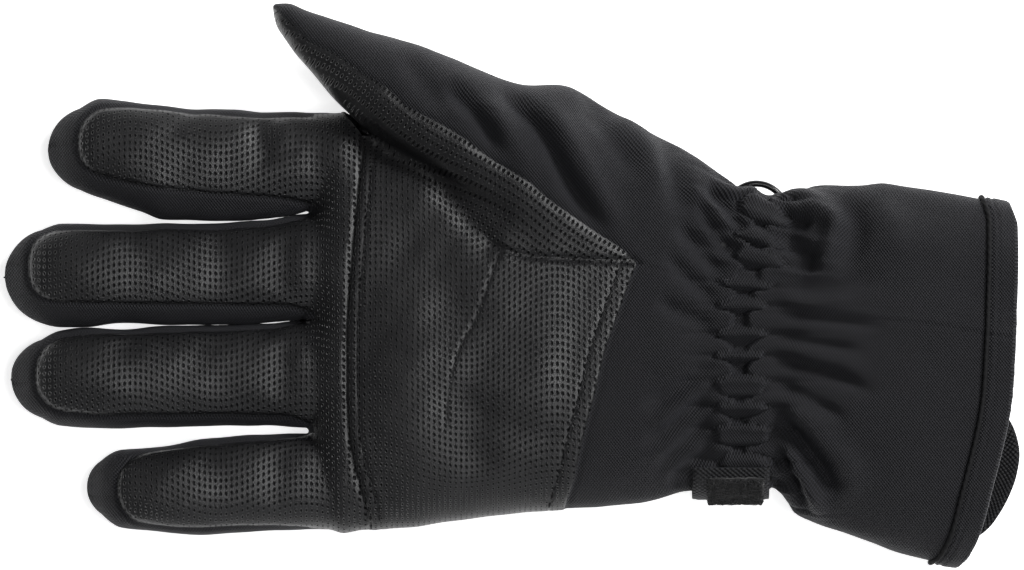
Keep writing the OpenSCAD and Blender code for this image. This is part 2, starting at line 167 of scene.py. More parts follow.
# Fingers: (place, low side, high side), then the tip's place and its side
OUTLINE = {
    "index": ([(-130, 27.5, 54), (-123.5, 26, 56), (-117.5, 23.9, 55.4),
               (-111.5, 22, 54.5), (-105, 19.8, 53.9), (-93.5, 19.3, 53), (-84, 19.1, 53), (-75, 19.4, 52),
               (-58, 23, 52), (-46, 26, 50)], -139.6),
    "middle": ([(-141.5, -12.4, 17.3), (-135, -12.8, 18.6), (-128, -12.7, 18.5), (-118, -11.6, 18.4),
                (-108, -12.1, 18.4), (-93, -12.1, 18.5), (-75, -11.7, 19.9),
                (-58, -9.4, 21.8), (-46, -8, 22)], -152.7),
    "ring": ([(-141.5, -41, -15.8), (-135.5, -42.5, -13.6), (-128, -43, -12.7), (-118, -43, -13.2),
              (-108, -42.8, -12.2), (-93, -42.5, -12.0), (-75, -42.2, -11.4),
              (-58, -43.2, -10.4), (-46, -43, -11)], -150.7),
    "little": ([(-123.5, -70.4, -51.5), (-117.5, -73, -49.7), (-105.5, -74.3, -48.5),
                (-93.5, -75.2, -46.2), (-75, -74, -44.9), (-58, -73.6, -44.5), (-46, -73.6, -45)], -127.9),
}
FINGER_UNDER = [(0, 6), (6, 2.2), (14, 0.3), (110, 0.3)]     # against the distance from the tip
FINGER_TOP = [(0, 12), (6, 18.2), (14, 21.8), (30, 23.2), (50, 22.6), (70, 22.4), (94, 24.5)]


def section(y, z, lo, hi, under, top, round_to, close=1.0):
    """Distance, roughly, to a rounded cross-section between those sides."""
    yc, zc = (lo + hi) / 2, (under + top) / 2
    a, b = (hi - lo) / 2 * close, (top - under) / 2 * close
    y, z = y - yc, z - zc
    r = (np.abs(y / a) ** round_to + np.abs(z / b) ** round_to) ** (1 / round_to)
    return np.hypot(y, z) * (1 - 1 / np.maximum(r, 0.02))


def hand_tube(x, y, z):
    close = np.sqrt(np.clip(1 - np.clip((-50 - x) / 13, 0, 1) ** 2, 0.003, 1))
    sides = (curve(x, k) for k in (PINKY_SIDE, HAND_THUMB_SIDE, UNDER, TOP))
    return section(y, z, *sides, 2.8, close) + np.maximum(-62.6 - x, 0)


def thumb_frame(x, y):
    dx, dy = x - WEB[0], y - WEB[1]
    return dx * ALONG[0] + dy * ALONG[1], dx * ACROSS[0] + dy * ACROSS[1]


def thumb_tube(x, y, z):
    s, n = thumb_frame(x, y)
    tip = np.clip((s - 36.5) / 6.2, 0, 1)
    root = np.clip((-80 - s) / 26, 0, 1)
    close = np.sqrt(np.clip(1 - tip**2.2, 0.004, 1)) * np.sqrt(np.clip(1 - root**2, 0.004, 1))
    sides = (curve(s, k) for k in (THUMB_LOW, THUMB_HIGH, THUMB_UNDER, THUMB_TOP))
    return section(n, z, *sides, 2.3, close) + np.maximum(s - 42.7, 0) + np.maximum(-106 - s, 0)


def finger_tube(x, y, z, name):
    knots, tip = OUTLINE[name]
    lo = [(k[0], k[1]) for k in knots]
    hi = [(k[0], k[2]) for k in knots]
    first = knots[1][0]
    end = np.clip((first - x) / (first - tip), 0, 1)
    close = np.clip(1 - end**2.2, 0.002, 1) ** 0.5
    far = x - tip
    root = np.clip((x + 52) / 10, 0, 1)
    close = close * np.sqrt(np.clip(1 - root**2, 0.003, 1))
    f = section(y, z, curve(x, lo), curve(x, hi), curve(far, FINGER_UNDER), curve(far, FINGER_TOP), 2.35, close)
    return f + np.maximum(tip - x, 0) + np.maximum(x + 42, 0)


WEB_FILLET = 4.0
CROTCH_FILLET = 5.0


def body(x, y, z):
    return join(hand_tube(x, y, z), thumb_tube(x, y, z), WEB_FILLET)


def with_fingers(x, y, z):
    f = finger_tube(x, y, z, FINGERS[0])
    for name in FINGERS[1:]:
        f = np.minimum(f, finger_tube(x, y, z, name))
    return join(body(x, y, z), f, CROTCH_FILLET)


def with_finger(name):
    """The field of the hand and thumb with one finger on it."""
    return lambda x, y, z: join(body(x, y, z), finger_tube(x, y, z, name), CROTCH_FILLET)


def finger_room(name, top):
    """Corners of the box that holds a finger."""
    knots, tip = OUTLINE[name]
    return (tip - 2, min(k[1] for k in knots) - 3, -1), (-40, max(k[2] for k in knots) + 3, top)


# ---------------------------------------------------------------- meshes in arrays


class Sheet:
    """Triangles with values kept at their points."""

    def __init__(self, co, tri, **at):
        self.co, self.tri, self.at = co, tri, at

    def copy(self):
        return Sheet(self.co.copy(), self.tri.copy(), **{k: v.copy() for k, v in self.at.items()})


GRID = 0.75     # size of a mesh cell


def surface(field, low, high, cell=GRID, level=0.0):
    """The field's surface inside a box, with its points on the true surface."""
    axes = [np.arange(math.floor(a / cell), math.ceil(b / cell) + 1) * cell for a, b in zip(low, high)]
    x, y, z = (g.astype(np.float32) for g in axes)
    f = field(x[:, None, None], y[None, :, None], z[None, None, :]) - np.float32(level)
    inside = f < 0
    n = [len(g) - 1 for g in axes]
    count = np.zeros(n, np.int8)
    for i in (0, 1):
        for j in (0, 1):
            for k in (0, 1):
                count += inside[i:i + n[0], j:j + n[1], k:k + n[2]]
    active = (count > 0) & (count < 8)
    index = np.full(n, -1, np.int64)
    cells = np.argwhere(active)
    index[active] = np.arange(len(cells))
    corners = {(i, j, k): f[cells[:, 0] + i, cells[:, 1] + j, cells[:, 2] + k]
               for i in (0, 1) for j in (0, 1) for k in (0, 1)}
    total, hits = np.zeros((len(cells), 3)), np.zeros(len(cells))
    for a, fa in corners.items():
        for axis in range(3):
            if a[axis]:
                continue
            b = list(a)
            b[axis] = 1
            fb = corners[tuple(b)]
            cross = (fa < 0) != (fb < 0)
            t = np.where(cross, fa / np.where(cross, fa - fb, 1), 0)
            point = np.zeros((len(cells), 3)) + a
            point[:, axis] = t
            total += point * cross[:, None]
            hits += cross
    co = (cells + total / hits[:, None]) * cell + [g[0] for g in axes]
    faces = []
    for axis in range(3):
        o, p = [(1, 2), (2, 0), (0, 1)][axis]
        sl = [slice(None)] * 3
        sl[o], sl[p] = slice(1, -1), slice(1, -1)
        lo, hi = list(sl), list(sl)
        lo[axis], hi[axis] = slice(0, -1), slice(1, None)
        a, b = inside[tuple(lo)], inside[tuple(hi)]
        for flip, hit in ((False, a & ~b), (True, ~a & b)):
            at = np.argwhere(hit)
            at[:, o] += 1
            at[:, p] += 1
            quad = []
            for do, dp in ((-1, -1), (0, -1), (0, 0), (-1, 0)):
                c = at.copy()
                c[:, o] += do
                c[:, p] += dp
                quad.append(index[c[:, 0], c[:, 1], c[:, 2]])
            q = np.stack(quad[::-1] if flip else quad, 1)
            faces.append(q)
    q = np.concatenate(faces)
    q = q[(q >= 0).all(1)]
    tri = np.concatenate([q[:, [0, 1, 2]], q[:, [0, 2, 3]]])
    for _ in range(3):
        value = field(*co.T) - level
        g = gradient(field, co)
        size = np.maximum((g**2).sum(1), 0.05)
        move = g * (value / size)[:, None]
        far = np.linalg.norm(move, axis=1)
        co = co - move * np.minimum(1, cell / np.maximum(far, 1e-9))[:, None]
    return Sheet(co, tri)


def gradient(field, co, h=0.25):
    return np.stack([(field(*(co + h * e).T) - field(*(co - h * e).T)) / (2 * h) for e in np.eye(3)], 1)


def unit(v):
    return v / np.maximum(np.linalg.norm(v, axis=1), 1e-9)[:, None]


def normals(co, tri):
    a, b, c = co[tri[:, 0]], co[tri[:, 1]], co[tri[:, 2]]
    n = np.cross(b - a, c - a)
    out = np.zeros_like(co)
    for i in range(3):
        for k in range(3):
            out[:, k] += np.bincount(tri[:, i], n[:, k], len(co))
    return unit(out)


def compact(m):
    used = np.unique(m.tri)
    new = np.full(len(m.co), -1)
    new[used] = np.arange(len(used))
    return Sheet(m.co[used], new[m.tri], **{k: v[used] for k, v in m.at.items()})


def cut(m, g, snap=0.1):
    """The part of a sheet where g is above 0, with its edge along g = 0."""
    g = np.where(np.abs(g) < snap, 0, g)
    s = np.sign(g)[m.tri]
    low, high = s.min(1), s.max(1)
    whole = m.tri[(low >= 0) & (high > 0)]
    mixed = m.tri[(low < 0) & (high > 0)]
    if not len(mixed):
        return compact(Sheet(m.co, whole, **m.at))
    edges = np.sort(np.concatenate([mixed[:, [0, 1]], mixed[:, [1, 2]], mixed[:, [2, 0]]]), 1)
    edges = edges[g[edges[:, 0]] * g[edges[:, 1]] < 0]
    n = len(m.co)
    keys = np.unique(edges[:, 0] * n + edges[:, 1])
    a, b = keys // n, keys % n
    t = (g[a] / (g[a] - g[b]))[:, None]
    co = np.concatenate([m.co, m.co[a] * (1 - t) + m.co[b] * t])
    at = {k: np.concatenate([v, v[a] * (1 - t) + v[b] * t]) for k, v in m.at.items()}

    def crossing(i, j):
        return n + np.searchsorted(keys, np.minimum(i, j) * n + np.maximum(i, j))

    out = [whole]
    for turn in range(3):
        t3 = np.roll(mixed, -turn, axis=1)
        sg = np.sign(g)[t3]
        p, q, r = t3.T

        def pick(pattern):
            hit = (sg == pattern).all(1)
            return p[hit], q[hit], r[hit]

        i, j, k = pick((1, -1, -1))
        out.append(np.stack([i, crossing(i, j), crossing(k, i)], 1))
        i, j, k = pick((-1, 1, 1))
        ki, ij = crossing(k, i), crossing(i, j)
        out += [np.stack([j, k, ki], 1), np.stack([j, ki, ij], 1)]
        i, j, k = pick((1, 0, -1))
        out.append(np.stack([i, j, crossing(k, i)], 1))
        i, j, k = pick((1, -1, 0))
        out.append(np.stack([i, crossing(i, j), k], 1))
    return compact(Sheet(co, np.concatenate(out), **at))


def thicken(m, t, lip=0.0):
    """A closed piece: the sheet, its copy t inside it, and a rim that may be rounded."""
    no = m.at["no"]
    n = len(m.co)
    e = np.concatenate([m.tri[:, [0, 1]], m.tri[:, [1, 2]], m.tri[:, [2, 0]]])
    key, back = e[:, 0] * n + e[:, 1], e[:, 1] * n + e[:, 0]
    rim = e[~np.isin(key, back)]
    out = np.zeros_like(m.co)
    side = unit(np.cross(m.co[rim[:, 1]] - m.co[rim[:, 0]], no[rim[:, 0]]))
    for c in (0, 1):
        for k in range(3):
            out[:, k] += np.bincount(rim[:, c], side[:, k], n)
    out = unit(out)
    edge = np.unique(rim)
    place = np.full(n, -1)
    place[edge] = np.arange(len(edge))
    co, nos = [m.co, m.co - no * t], [no, -no]
    rings = [lambda i: i]
    if lip > 0:
        for phi in (math.pi / 4, math.pi / 2, 3 * math.pi / 4):
            start = sum(len(c) for c in co)
            nn, oo = no[edge], out[edge]
            co.append(m.co[edge] - nn * t / 2 * (1 - math.cos(phi)) + oo * t / 2 * lip * math.sin(phi))
            nos.append(unit(nn * math.cos(phi) + oo * math.sin(phi)))
            rings.append(lambda i, s=start: s + place[i])
    rings.append(lambda i: i + n)
    tri = [m.tri, m.tri[:, ::-1] + n]
    a, b = rim.T
    for r0, r1 in zip(rings[:-1], rings[1:]):
        tri += [np.stack([r0(b), r0(a), r1(a)], 1), np.stack([r0(b), r1(a), r1(b)], 1)]
    at = {k: np.concatenate([v, v] + [v[edge]] * (len(rings) - 2)) for k, v in m.at.items() if k != "no"}
    return Sheet(np.concatenate(co), np.concatenate(tri), no=np.concatenate(nos), **at)


def piece(name, m, material):
    """A Blender object from a sheet. Its points keep the cloth's own coordinates."""
    me = bpy.data.meshes.new(name)
    me.vertices.add(len(m.co))
    me.vertices.foreach_set("co", (m.co * MM).astype(np.float32).ravel())
    me.loops.add(3 * len(m.tri))
    me.loops.foreach_set("vertex_index", m.tri.astype(np.int32).ravel())
    me.polygons.add(len(m.tri))
    me.polygons.foreach_set("loop_start", np.arange(0, 3 * len(m.tri), 3, dtype=np.int32))
    me.update(calc_edges=True)
    me.validate()
    if "no" in m.at:
        me.normals_split_custom_set_from_vertices(m.at["no"].tolist())
    if "cloth" in m.at:
        a = me.attributes.new("cloth", "FLOAT_VECTOR", "POINT")
        a.data.foreach_set("vector", m.at["cloth"].astype(np.float32).ravel())
    if "side" in m.at:
        a = me.attributes.new("side", "FLOAT", "POINT")
        a.data.foreach_set("value", m.at["side"].astype(np.float32).ravel())
    me.materials.append(material)
    o = bpy.data.objects.new(name, me)
    bpy.context.scene.collection.objects.link(o)
    return o


# ---------------------------------------------------------------- seams and folds

LAPPED = [(-76, -43), (-70, -43.3), (-61, -45.5), (-51, -48), (-35, -49.5), (-14, -49.6),
          (4, -48.4), (25, -46.5), (45, -44.2)]                      # x against y
LEATHER_END = [(-76, 13.6), (-70, 15), (-65.6, 16), (-58.7, 18.2), (-43.4, 21.8), (-33.5, 24.5),
               (-21, 27.5), (-9.5, 31.4), (6.8, 37.3)]               # x against y
THUMB_SEAM = [(-74, 85), (-70, 81.5), (-65.9, 77.9), (-61, 73), (-52.7, 68.9), (-45.2, 63.5), (-37.7, 59),
              (-31.4, 53.3), (-22, 48.3), (-14.6, 43.9), (-6.5, 37.7), (5, 30.8), (10.4, 26),
              (17.9, 20.6), (25.4, 15.5), (32.9, 10.7), (37.3, 6.8), (42, 3)]
CREASE = [(-60, 57), (-44.5, 47), (-36, 40), (-26, 33.7), (-3.5, 11), (5.6, 8.6), (13, 8), (25.4, 7.4),
          (37.1, 6.8), (46, 6.2)]
HEEL_SEAM = [(30, 7.4), (37.3, 6.6), (43.4, 4.7), (50.3, 2.6), (58.1, 0.5), (65.6, -2.3),
             (72.8, -5.3), (76, -5.6),
             (92.6, -7.7), (103, -9.2), (113.6, -10.7), (126.2, -11.9), (132.5, -13.1), (152, -16)]
PALM_SEAM = [(-43.4, -20), (-35.3, -19.7), (-26.3, -18.2), (-17.6, -15.2), (-10, -11), (-2.6, -8.3),
             (10.7, -3.5)]                                           # x against y

# Leather on the fingers: tip, low edge and high edge against the place
FINGER_LEATHER = {
    "index": (-130.6, 12, [(-131, 33), (-120, 31.6), (-113, 30.2), (-104, 28.6), (-85, 26.9), (-67, 25.4),
                            (-58, 23)],
              [(-131, 52.5), (-122, 54), (-104, 52.9), (-92, 52), (-75, 51), (-58, 51), (-44, 52)]),
    "middle": (-145.6, 11, [(-146, -5), (-135, -5.4), (-116, -5.8), (-92, -6.1), (-68, -6.6), (-58, -9.4)],
               [(-146, 16), (-135, 17.2), (-120, 17.3), (-93, 17.2), (-75, 18.2), (-58, 22)]),
    "ring": (-143.4, 11, [(-144, -37.5), (-135, -38.4), (-120, -39.4), (-93, -39.2), (-68, -39.6),
                           (-58, -43.4)],
             [(-144, -17), (-135, -15), (-120, -13.9), (-93, -13.3), (-75, -12.7), (-58, -9.5)]),
    "little": (-118.7, 10, [(-119, -70), (-112, -72), (-93, -73.4), (-75, -72.8), (-58, -73.5)],
               [(-119, -52), (-112, -50.2), (-93, -47.4), (-75, -46.2), (-58, -44)]),
}

# Soft folds: path, width, depth (below 0 stands proud). The property fold_depth multiplies the depths
FOLDS = [
    ([(-20, 62), (-10, 50), (-2, 38.5)], 3.0, 2.1),
    ([(-5, 61), (8, 47), (18, 29), (30, 13.5)], 3.0, 2.35),
    ([(-10, 57), (0, 43), (8, 31)], 4, -1.2),
    ([(7, 57), (17, 43), (26, 27), (34, 13)], 4.6, -1.4),
    ([(-33, 71), (-27, 62), (-18, 51)], 4.5, 1.0),
    ([(20, 58), (31, 45), (40, 30)], 5, 1.5),
    ([(28, 52), (40, 40), (47, 27)], 5, -1.2),
    ([(45, 44), (49, 32), (52, 20)], 4.5, 1.2),
    ([(79, 18), (84, 12), (88, 8), (93, 8)], 4.2, 2.8),
    ([(84, 26), (92, 23), (96.5, 19), (95, 11), (91, 4)], 3.4, -2.2),
    ([(99, 27), (103, 18), (101, 8), (96, 2)], 4.5, 1.5),
    ([(79, 24), (84, 20), (90, 18)], 2.6, 1.8),
    ([(105, 30), (112, 18), (114, 6)], 7, -1.1),
    ([(77, -37), (86, -47), (98, -64)], 3.2, 2.6),
    ([(80, -31), (92, -45), (107, -62)], 5, -1.8),
    ([(80, -45), (87, -57), (94, -71)], 3.0, -1.8),
    ([(78, -47), (84, -58), (90, -69)], 2.4, 1.8),
    ([(77.5, -8.6), (92, -10.5), (112, -12.5)], 2.0, 1.5),
    ([(76, -22), (92, -26), (110, -33)], 2.4, 1.6),
    ([(76, -15), (90, -17.5), (106, -20)], 2.0, 1.3),
    ([(77, -29), (88, -34), (101, -41)], 2.4, 1.5),
    ([(77, -18.5), (92, -21.5), (108, -25)], 3.0, -1.0),
    ([(80, 0), (92, -1), (112, 4)], 3.4, 1.3),
    ([(78, -3), (90, -5), (104, -4)], 2.4, -0.9),
    ([(61, -30), (50, -41), (38, -50)], 2.8, 1.7),
    ([(61, -37), (52, -48), (42, -57)], 2.6, 1.6),
    ([(61, -45), (54, -54), (46, -61)], 2.6, 1.6),
    ([(61, -22), (52, -30), (38, -38)], 3.0, 1.4),
    ([(61, -26), (50, -36), (40, -44)], 3.4, -1.1),
    ([(62, -6), (54, 1), (45, 10)], 2.6, 1.4),
    ([(61, -13), (50, -8), (42, -4)], 2.8, 1.4),
    ([(64, 2), (56, 11), (49, 20)], 2.8, 1.6),
    ([(67, 9), (60, 18), (54, 28)], 2.6, 1.9),
    ([(70, 15), (64, 24), (58, 33)], 2.4, 1.8),
    ([(66, 13), (58, 23), (51, 33)], 3.0, -1.3),
]
# Bends in the fingers' padding, on the leather side
FINGER_FOLDS = [
    ([(-74.5, 50), (-75.5, 42), (-73, 34)], 4, 0.9), ([(-69, 50), (-68, 40)], 4, -0.5),
    ([(-98, 53), (-96, 45)], 6, 0.5),
    ([(-84, 17), (-88, 8), (-85, -2)], 6, 0.6), ([(-70, 16), (-68, 6), (-71, -4)], 5, 0.7),
    ([(-110, 15), (-113, 4)], 8, 0.4), ([(-70, -16), (-68, -26), (-71, -36)], 5, 0.8),
    ([(-92, -15), (-95, -28)], 7, 0.5), ([(-118, -16), (-116, -30)], 8, 0.35),
    ([(-72, -48), (-70, -58), (-73, -68)], 5, 0.7), ([(-90, -49), (-93, -62)], 7, 0.5),
    ([(-60, 46), (-57, 30), (-60, 12), (-58, -6), (-60, -28), (-57, -48)], 4, 0.45),
]
PALM_FOLDS = [
    ([(-38, 20), (-22, 2), (-14, -22)], 11, 1.2), ([(5, -8), (10, -26), (4, -44)], 12, -0.9),
    ([(-30, -10), (-34, -34), (-30, -56)], 12, -0.8), ([(-20, -28), (-12, -44), (-14, -60)], 9, 0.8),
    ([(22, -14), (16, -34), (12, -54)], 8, 0.5),
]

# Wrist gather: the puffs between its two rows of stitches
PUFF = 7.6
LEFT_TIP = [(-60, 62.5), (-46, 62), (-22, 60.8), (-12, 60.8), (-6.5, 62.5), (1.6, 64), (8, 66.5), (18, 68.5),
            (30, 70)]
LEFT_NOTCH = [(-60, 65.5), (-17, 65), (-2, 66.2), (8, 69), (30, 73)]
RIGHT_NOTCH = [(-60, 70.5), (-40, 69.8), (-30, 71), (-12, 70.6), (-2, 72.2), (8, 75), (30, 77.5)]
RIGHT_TIP = [(-60, 77), (-40, 76.3), (-30, 75.3), (-10, 74.9), (-2.4, 77), (5, 78.7), (15, 81), (30, 82)]


def round_place(x, y, z):
    """Place around the hand and cuff in mm: y on the palm side, going on round both sides."""
    lo, hi = curve(x, PINKY_SIDE), curve(x, HAND_THUMB_SIDE)
    zc = (curve(x, UNDER) + curve(x, TOP)) / 2
    yc = (lo + hi) / 2
    side = np.sign(y - yc)
    return np.where(z > zc, y + side * 0.35 * np.maximum(curve(x, TOP) - 6 - z, 0),
                    y + side * (0.35 * (curve(x, TOP) - 6 - zc) + (zc - z)))


def gather(co):
    """How far the gathered wrist stands proud, and how its puffs lean."""
    x, y, z = co.T
    w = round_place(x, y, z)
    slant = step(-8, 14, w)
    w = w + 0.32 * slant * (x - 68)
    phase = w / PUFF + 0.12 * np.sin(w * 0.37 + 1) + 0.1 * np.sin(w * 0.91) + 0.35
    number = np.floor(phase)
    g = 1 - (phase - number)
    wild = np.sin(number * 12.9898) * 43758.5453
    wild = wild - np.floor(wild)
    middle = 1 - np.abs(2 * g - 1)
    sway = (wild - 0.5) * 1.8 * middle
    left = curve(w, LEFT_NOTCH) + 1.4 + (curve(w, LEFT_TIP) - curve(w, LEFT_NOTCH) - 3.0) * middle + sway
    right = curve(w, RIGHT_NOTCH) - 1.4 + 0.6 * sway
    right = right + (curve(w, RIGHT_TIP) - curve(w, RIGHT_NOTCH) + 3.0) * middle
    into = np.minimum(x - left, right - x)
    beyond = np.maximum(-into, 0)
    inside = step(-0.6, 0.7, into)
    # each puff fills the gap between two folds of the cloth beside it
    puff = 5.2 * np.sin(math.pi * g ** 0.7) - 2.9
    fold = 3.3 * (np.abs(np.cos(math.pi * g)) - 0.5) * np.exp(-beyond / (5 + 9 * wild))
    fold = fold + 0.4 * np.exp(-beyond / 20)
    rise = puff * inside + fold * (1 - inside) - 0.8 * dip(into, 0.8)
    lean = 0.6 * np.sin(math.pi * g) * inside
    on = step(46, 56, x) * (1 - step(92, 104, x))
    return rise * on, lean * on


def relief(co, no):
    """The stitched and folded surface: how far each point moves along its normal, and sideways."""
    x, y, z = co.T
    p = co[:, :2]
    top = step(-0.1, 0.35, no[:, 2])
    up = np.zeros(len(co))
    lean = np.zeros(len(co))
    on_hand = step(-52, -40, x)
    up += 0.24 * waves(co, 34, 3) + 0.12 * waves(co, 13, 5)
    up += 0.35 * waves(co * [0.45, 1, 1], 13, 21) * step(36, 46, x) * (1 - 0.75 * step(100, 125, x))
    up += 0.5 * waves(co, 24, 8) * step(34, 50, x)
    # folds on the palm side
    more = bpy.context.scene.glove.fold_depth
    deep = [(path, width, more * depth) for path, width, depth in FOLDS]
    for path, width, depth in deep + PALM_FOLDS + FINGER_FOLDS:
        d, at = near_path(p, smooth_path(path, 4), 2.4 * width)
        hit = d < 2.4 * width
        if hit.any():
            ends = step(-0.02, 0.25, at[hit]) * (1 - step(0.7, 1.02, at[hit]))
            up[hit] -= depth * dip(d[hit], 0.9 * width) * ends * top[hit]
    # lapped seam across the palm, and its second row of stitches
    lap = across(y, x, LAPPED)
    here = top * (1 - step(45, 49, y)) * (x < -30)
    raised = 0.25 * step(0, 1.5, lap) * (1 - step(3, 8, lap))
    up -= here * (0.75 * dip(lap, 0.7) - raised + 0.28 * dip(lap - 3.6, 0.55))
    # leather's slanted end: folded bead with a groove beside it
    end = across(y, x, LEATHER_END)
    here = top * step(-80, -72, y) * (1 - step(6.5, 8, y)) * (x > 0)
    bead = 0.5 * (1 - step(-0.2, 0.4, end)) * step(-12, -1, end) + 0.12 * dip(end + 1.1, 0.9)
    up += here * (bead - 0.4 * dip(end - 0.9, 0.7) - 0.3 * dip(end + 4.6, 0.6))
    # thumb seam
    seam = across(x, y, THUMB_SEAM)
    here = top * step(-74, -70, x) * (1 - step(36, 39, x))
    up -= here * 0.7 * dip(seam, 0.8)
    # sharp seam from the crease to the leather's end
    fold = across(x, y, CREASE)
    here = top * step(-10, -2, x) * (1 - step(36.5, 39, x))
    up -= here * (1.3 * dip(fold, 0.9) - 0.25 * step(-8, -2, fold) * (1 - step(-1.5, 0.5, fold)))
    here = top * step(-46, -40, x) * (1 - step(-8, -1, x))
    up -= here * 1.6 * dip(fold, 3.5)
    # heel seam that runs on along the cuff
    heel = across(x, y, HEEL_SEAM)
    here = top * step(36, 39, x) * (1 - 0.7 * step(57, 60, x) * (1 - step(78, 84, x)))
    up -= here * (0.42 * dip(heel, 0.5) - 0.2 * step(0, 0.4, heel) * (1 - step(1, 3, heel)))
    # faint seam inside the palm
    faint = across(y, x, PALM_SEAM)
    up -= top * step(-44, -40, y) * (1 - step(9, 11, y)) * (np.abs(x + 12) < 14) * 0.32 * dip(faint, 0.5)
    g_up, g_lean = gather(co)
    up += 1.8 * dip(x - 71, 3.6) * step(0.2, 0.8, no[:, 1]) * (z > 12)
    up += g_up
    lean += g_lean
    # side seams low on the hand
    zc = (curve(x, UNDER) + curve(x, TOP)) / 2
    up -= 0.4 * dip(z - zc + 4.5, 0.6) * on_hand * (thumb_side(co) < 0) * step(0.5, 0.8, np.abs(no[:, 1]))
    return up, lean


def thumb_side(co):
    """Above 0 where the thumb's form is nearer than the hand's."""
    return hand_tube(*co.T) - thumb_tube(*co.T)


def thumb_inside(co):
    """Above 0 on what the thumb's inner layers cover."""
    return np.minimum(thumb_side(co), thumb_frame(co[:, 0], co[:, 1])[0] + 20)


def crease_side(co):
    """Above 0 on the thumb's side of the crease between thumb and palm."""
    x, y, z = co.T
    near = step(-8, 0, thumb_frame(x, y)[0])
    return thumb_side(co) * near + across(x, y, CREASE) * (1 - near)


def thumb_share(co):
    """Above 0 on what the thumb's pieces cover."""
    x, y, z = co.T
    t = thumb_side(co)
    seam = across(x, y, THUMB_SEAM)
    high = step(17, 20, z)
    line = crease_side(co)
    side = line * high + t * (1 - high)
    leather = np.minimum(np.minimum(line, -seam), np.minimum(z - 17, 37.2 - x))
    return np.maximum(leather, np.minimum(side, thumb_frame(x, y)[0] + 30))


def thumb_leather(co):
    x, y, z = co.T
    s = thumb_frame(x, y)[0]
    zc = (curve(s, THUMB_UNDER) + curve(s, THUMB_TOP)) / 2
    return np.minimum(-across(x, y, THUMB_SEAM), z - zc + 5)


def palm_leather(co):
    x, y, z = co.T
    return np.minimum(-across(y, x, LEATHER_END), np.minimum(z - 8.5, -crease_side(co)))


def finger_leather(co, name):
    x, y, z = co.T
    tip, reach, low, high = FINGER_LEATHER[name]
    lo, hi = curve(x, low), curve(x, high)
    yc, a = (lo + hi) / 2, (hi - lo) / 2
    r = (np.clip((tip + reach - x) / reach, 0, 9) ** 2.5 + np.abs((y - yc) / a) ** 2.5) ** (1 / 2.5)
    g = (1 - r) * np.minimum(a, 9)
    return np.minimum(np.where(x > tip + reach, a - np.abs(y - yc), g), z - 12.5)


def finger_border(co, name):
    """Above 0 on this finger's side of the lines to its neighbours."""
    i = FINGERS.index(name)
    own = finger_tube(*co.T, name)
    g = np.full(len(co), 50.0)
    for j in (i - 1, i + 1):
        if 0 <= j < 4:
            g = np.minimum(g, finger_tube(*co.T, FINGERS[j]) - own)
    if i == 0:
        g = np.minimum(g, thumb_tube(*co.T) - np.minimum(own, hand_tube(*co.T)))
    return g


def finger_relief(co, no, name):
    x, y, z = co.T
    g = finger_leather(co, name)
    top = step(-0.2, 0.3, no[:, 2])
    free = 1 - step(-64, -57, x)
    up = -0.75 * dip(g, 0.65) * free * np.maximum(top, 0.35)
    up += 0.3 * step(0.2, 1.6, g) * free * top
    tip = OUTLINE[name][1]
    # padding bends lightly between the joints
    up += 0.1 * np.sin((x - tip) * 2 * math.pi / 23) * top * step(8, 25, x - tip) * free
    # dart across the fingertip
    yc = {"index": 42, "middle": 6, "ring": -29.5, "little": -63.5}[name]
    up -= 0.45 * dip(y - yc, 0.6) * (g < -0.5) * (1 - step(tip + 8, tip + 10, x)) * (z > 10)
    # seam between the fourchette and the back
    up -= 0.4 * dip(z - 5.2, 0.6) * step(0.3, 0.7, np.hypot(no[:, 1], no[:, 0]))
    return up


FORM = {}
HAND_ROOM = (-58, -90, -1), (156, 76, 42)
THUMB_ROOM = (-88, -2, 0), (42, 94, 42)


def finish_form(field, room, finger=None):
    """The field's surface with its relief, flat where it lies on the table, and the cloth's coordinates."""
    m = surface(field, *room)
    rest = m.co.copy()
    no = unit(gradient(field, rest))
    up, lean = relief(rest, no)
    if finger:
        up = up + finger_relief(rest, no, finger)
    co = rest + no * up[:, None]
    co[:, 1] -= lean
    co[:, 2] = np.where(co[:, 2] < 0.8, 0.25 + 0.55 * np.exp((co[:, 2] - 0.8) / 0.55), co[:, 2])
    m.co = co
    m.at["rest"] = rest
    m.at["no"] = normals(co, m.tri)
    m.at["side"] = (1 - step(0.35, 0.75, np.abs(no[:, 2])))[:, None]
    m.at["cloth"] = rest.copy()
    return m


def forms():
    if FORM:
        return FORM
    FORM["hand"] = finish_form(with_fingers, HAND_ROOM)
    FORM["thumb"] = finish_form(body, THUMB_ROOM)
    for name in FINGERS:
        FORM[name] = finish_form(with_finger(name), finger_room(name, 32), name)
    return FORM


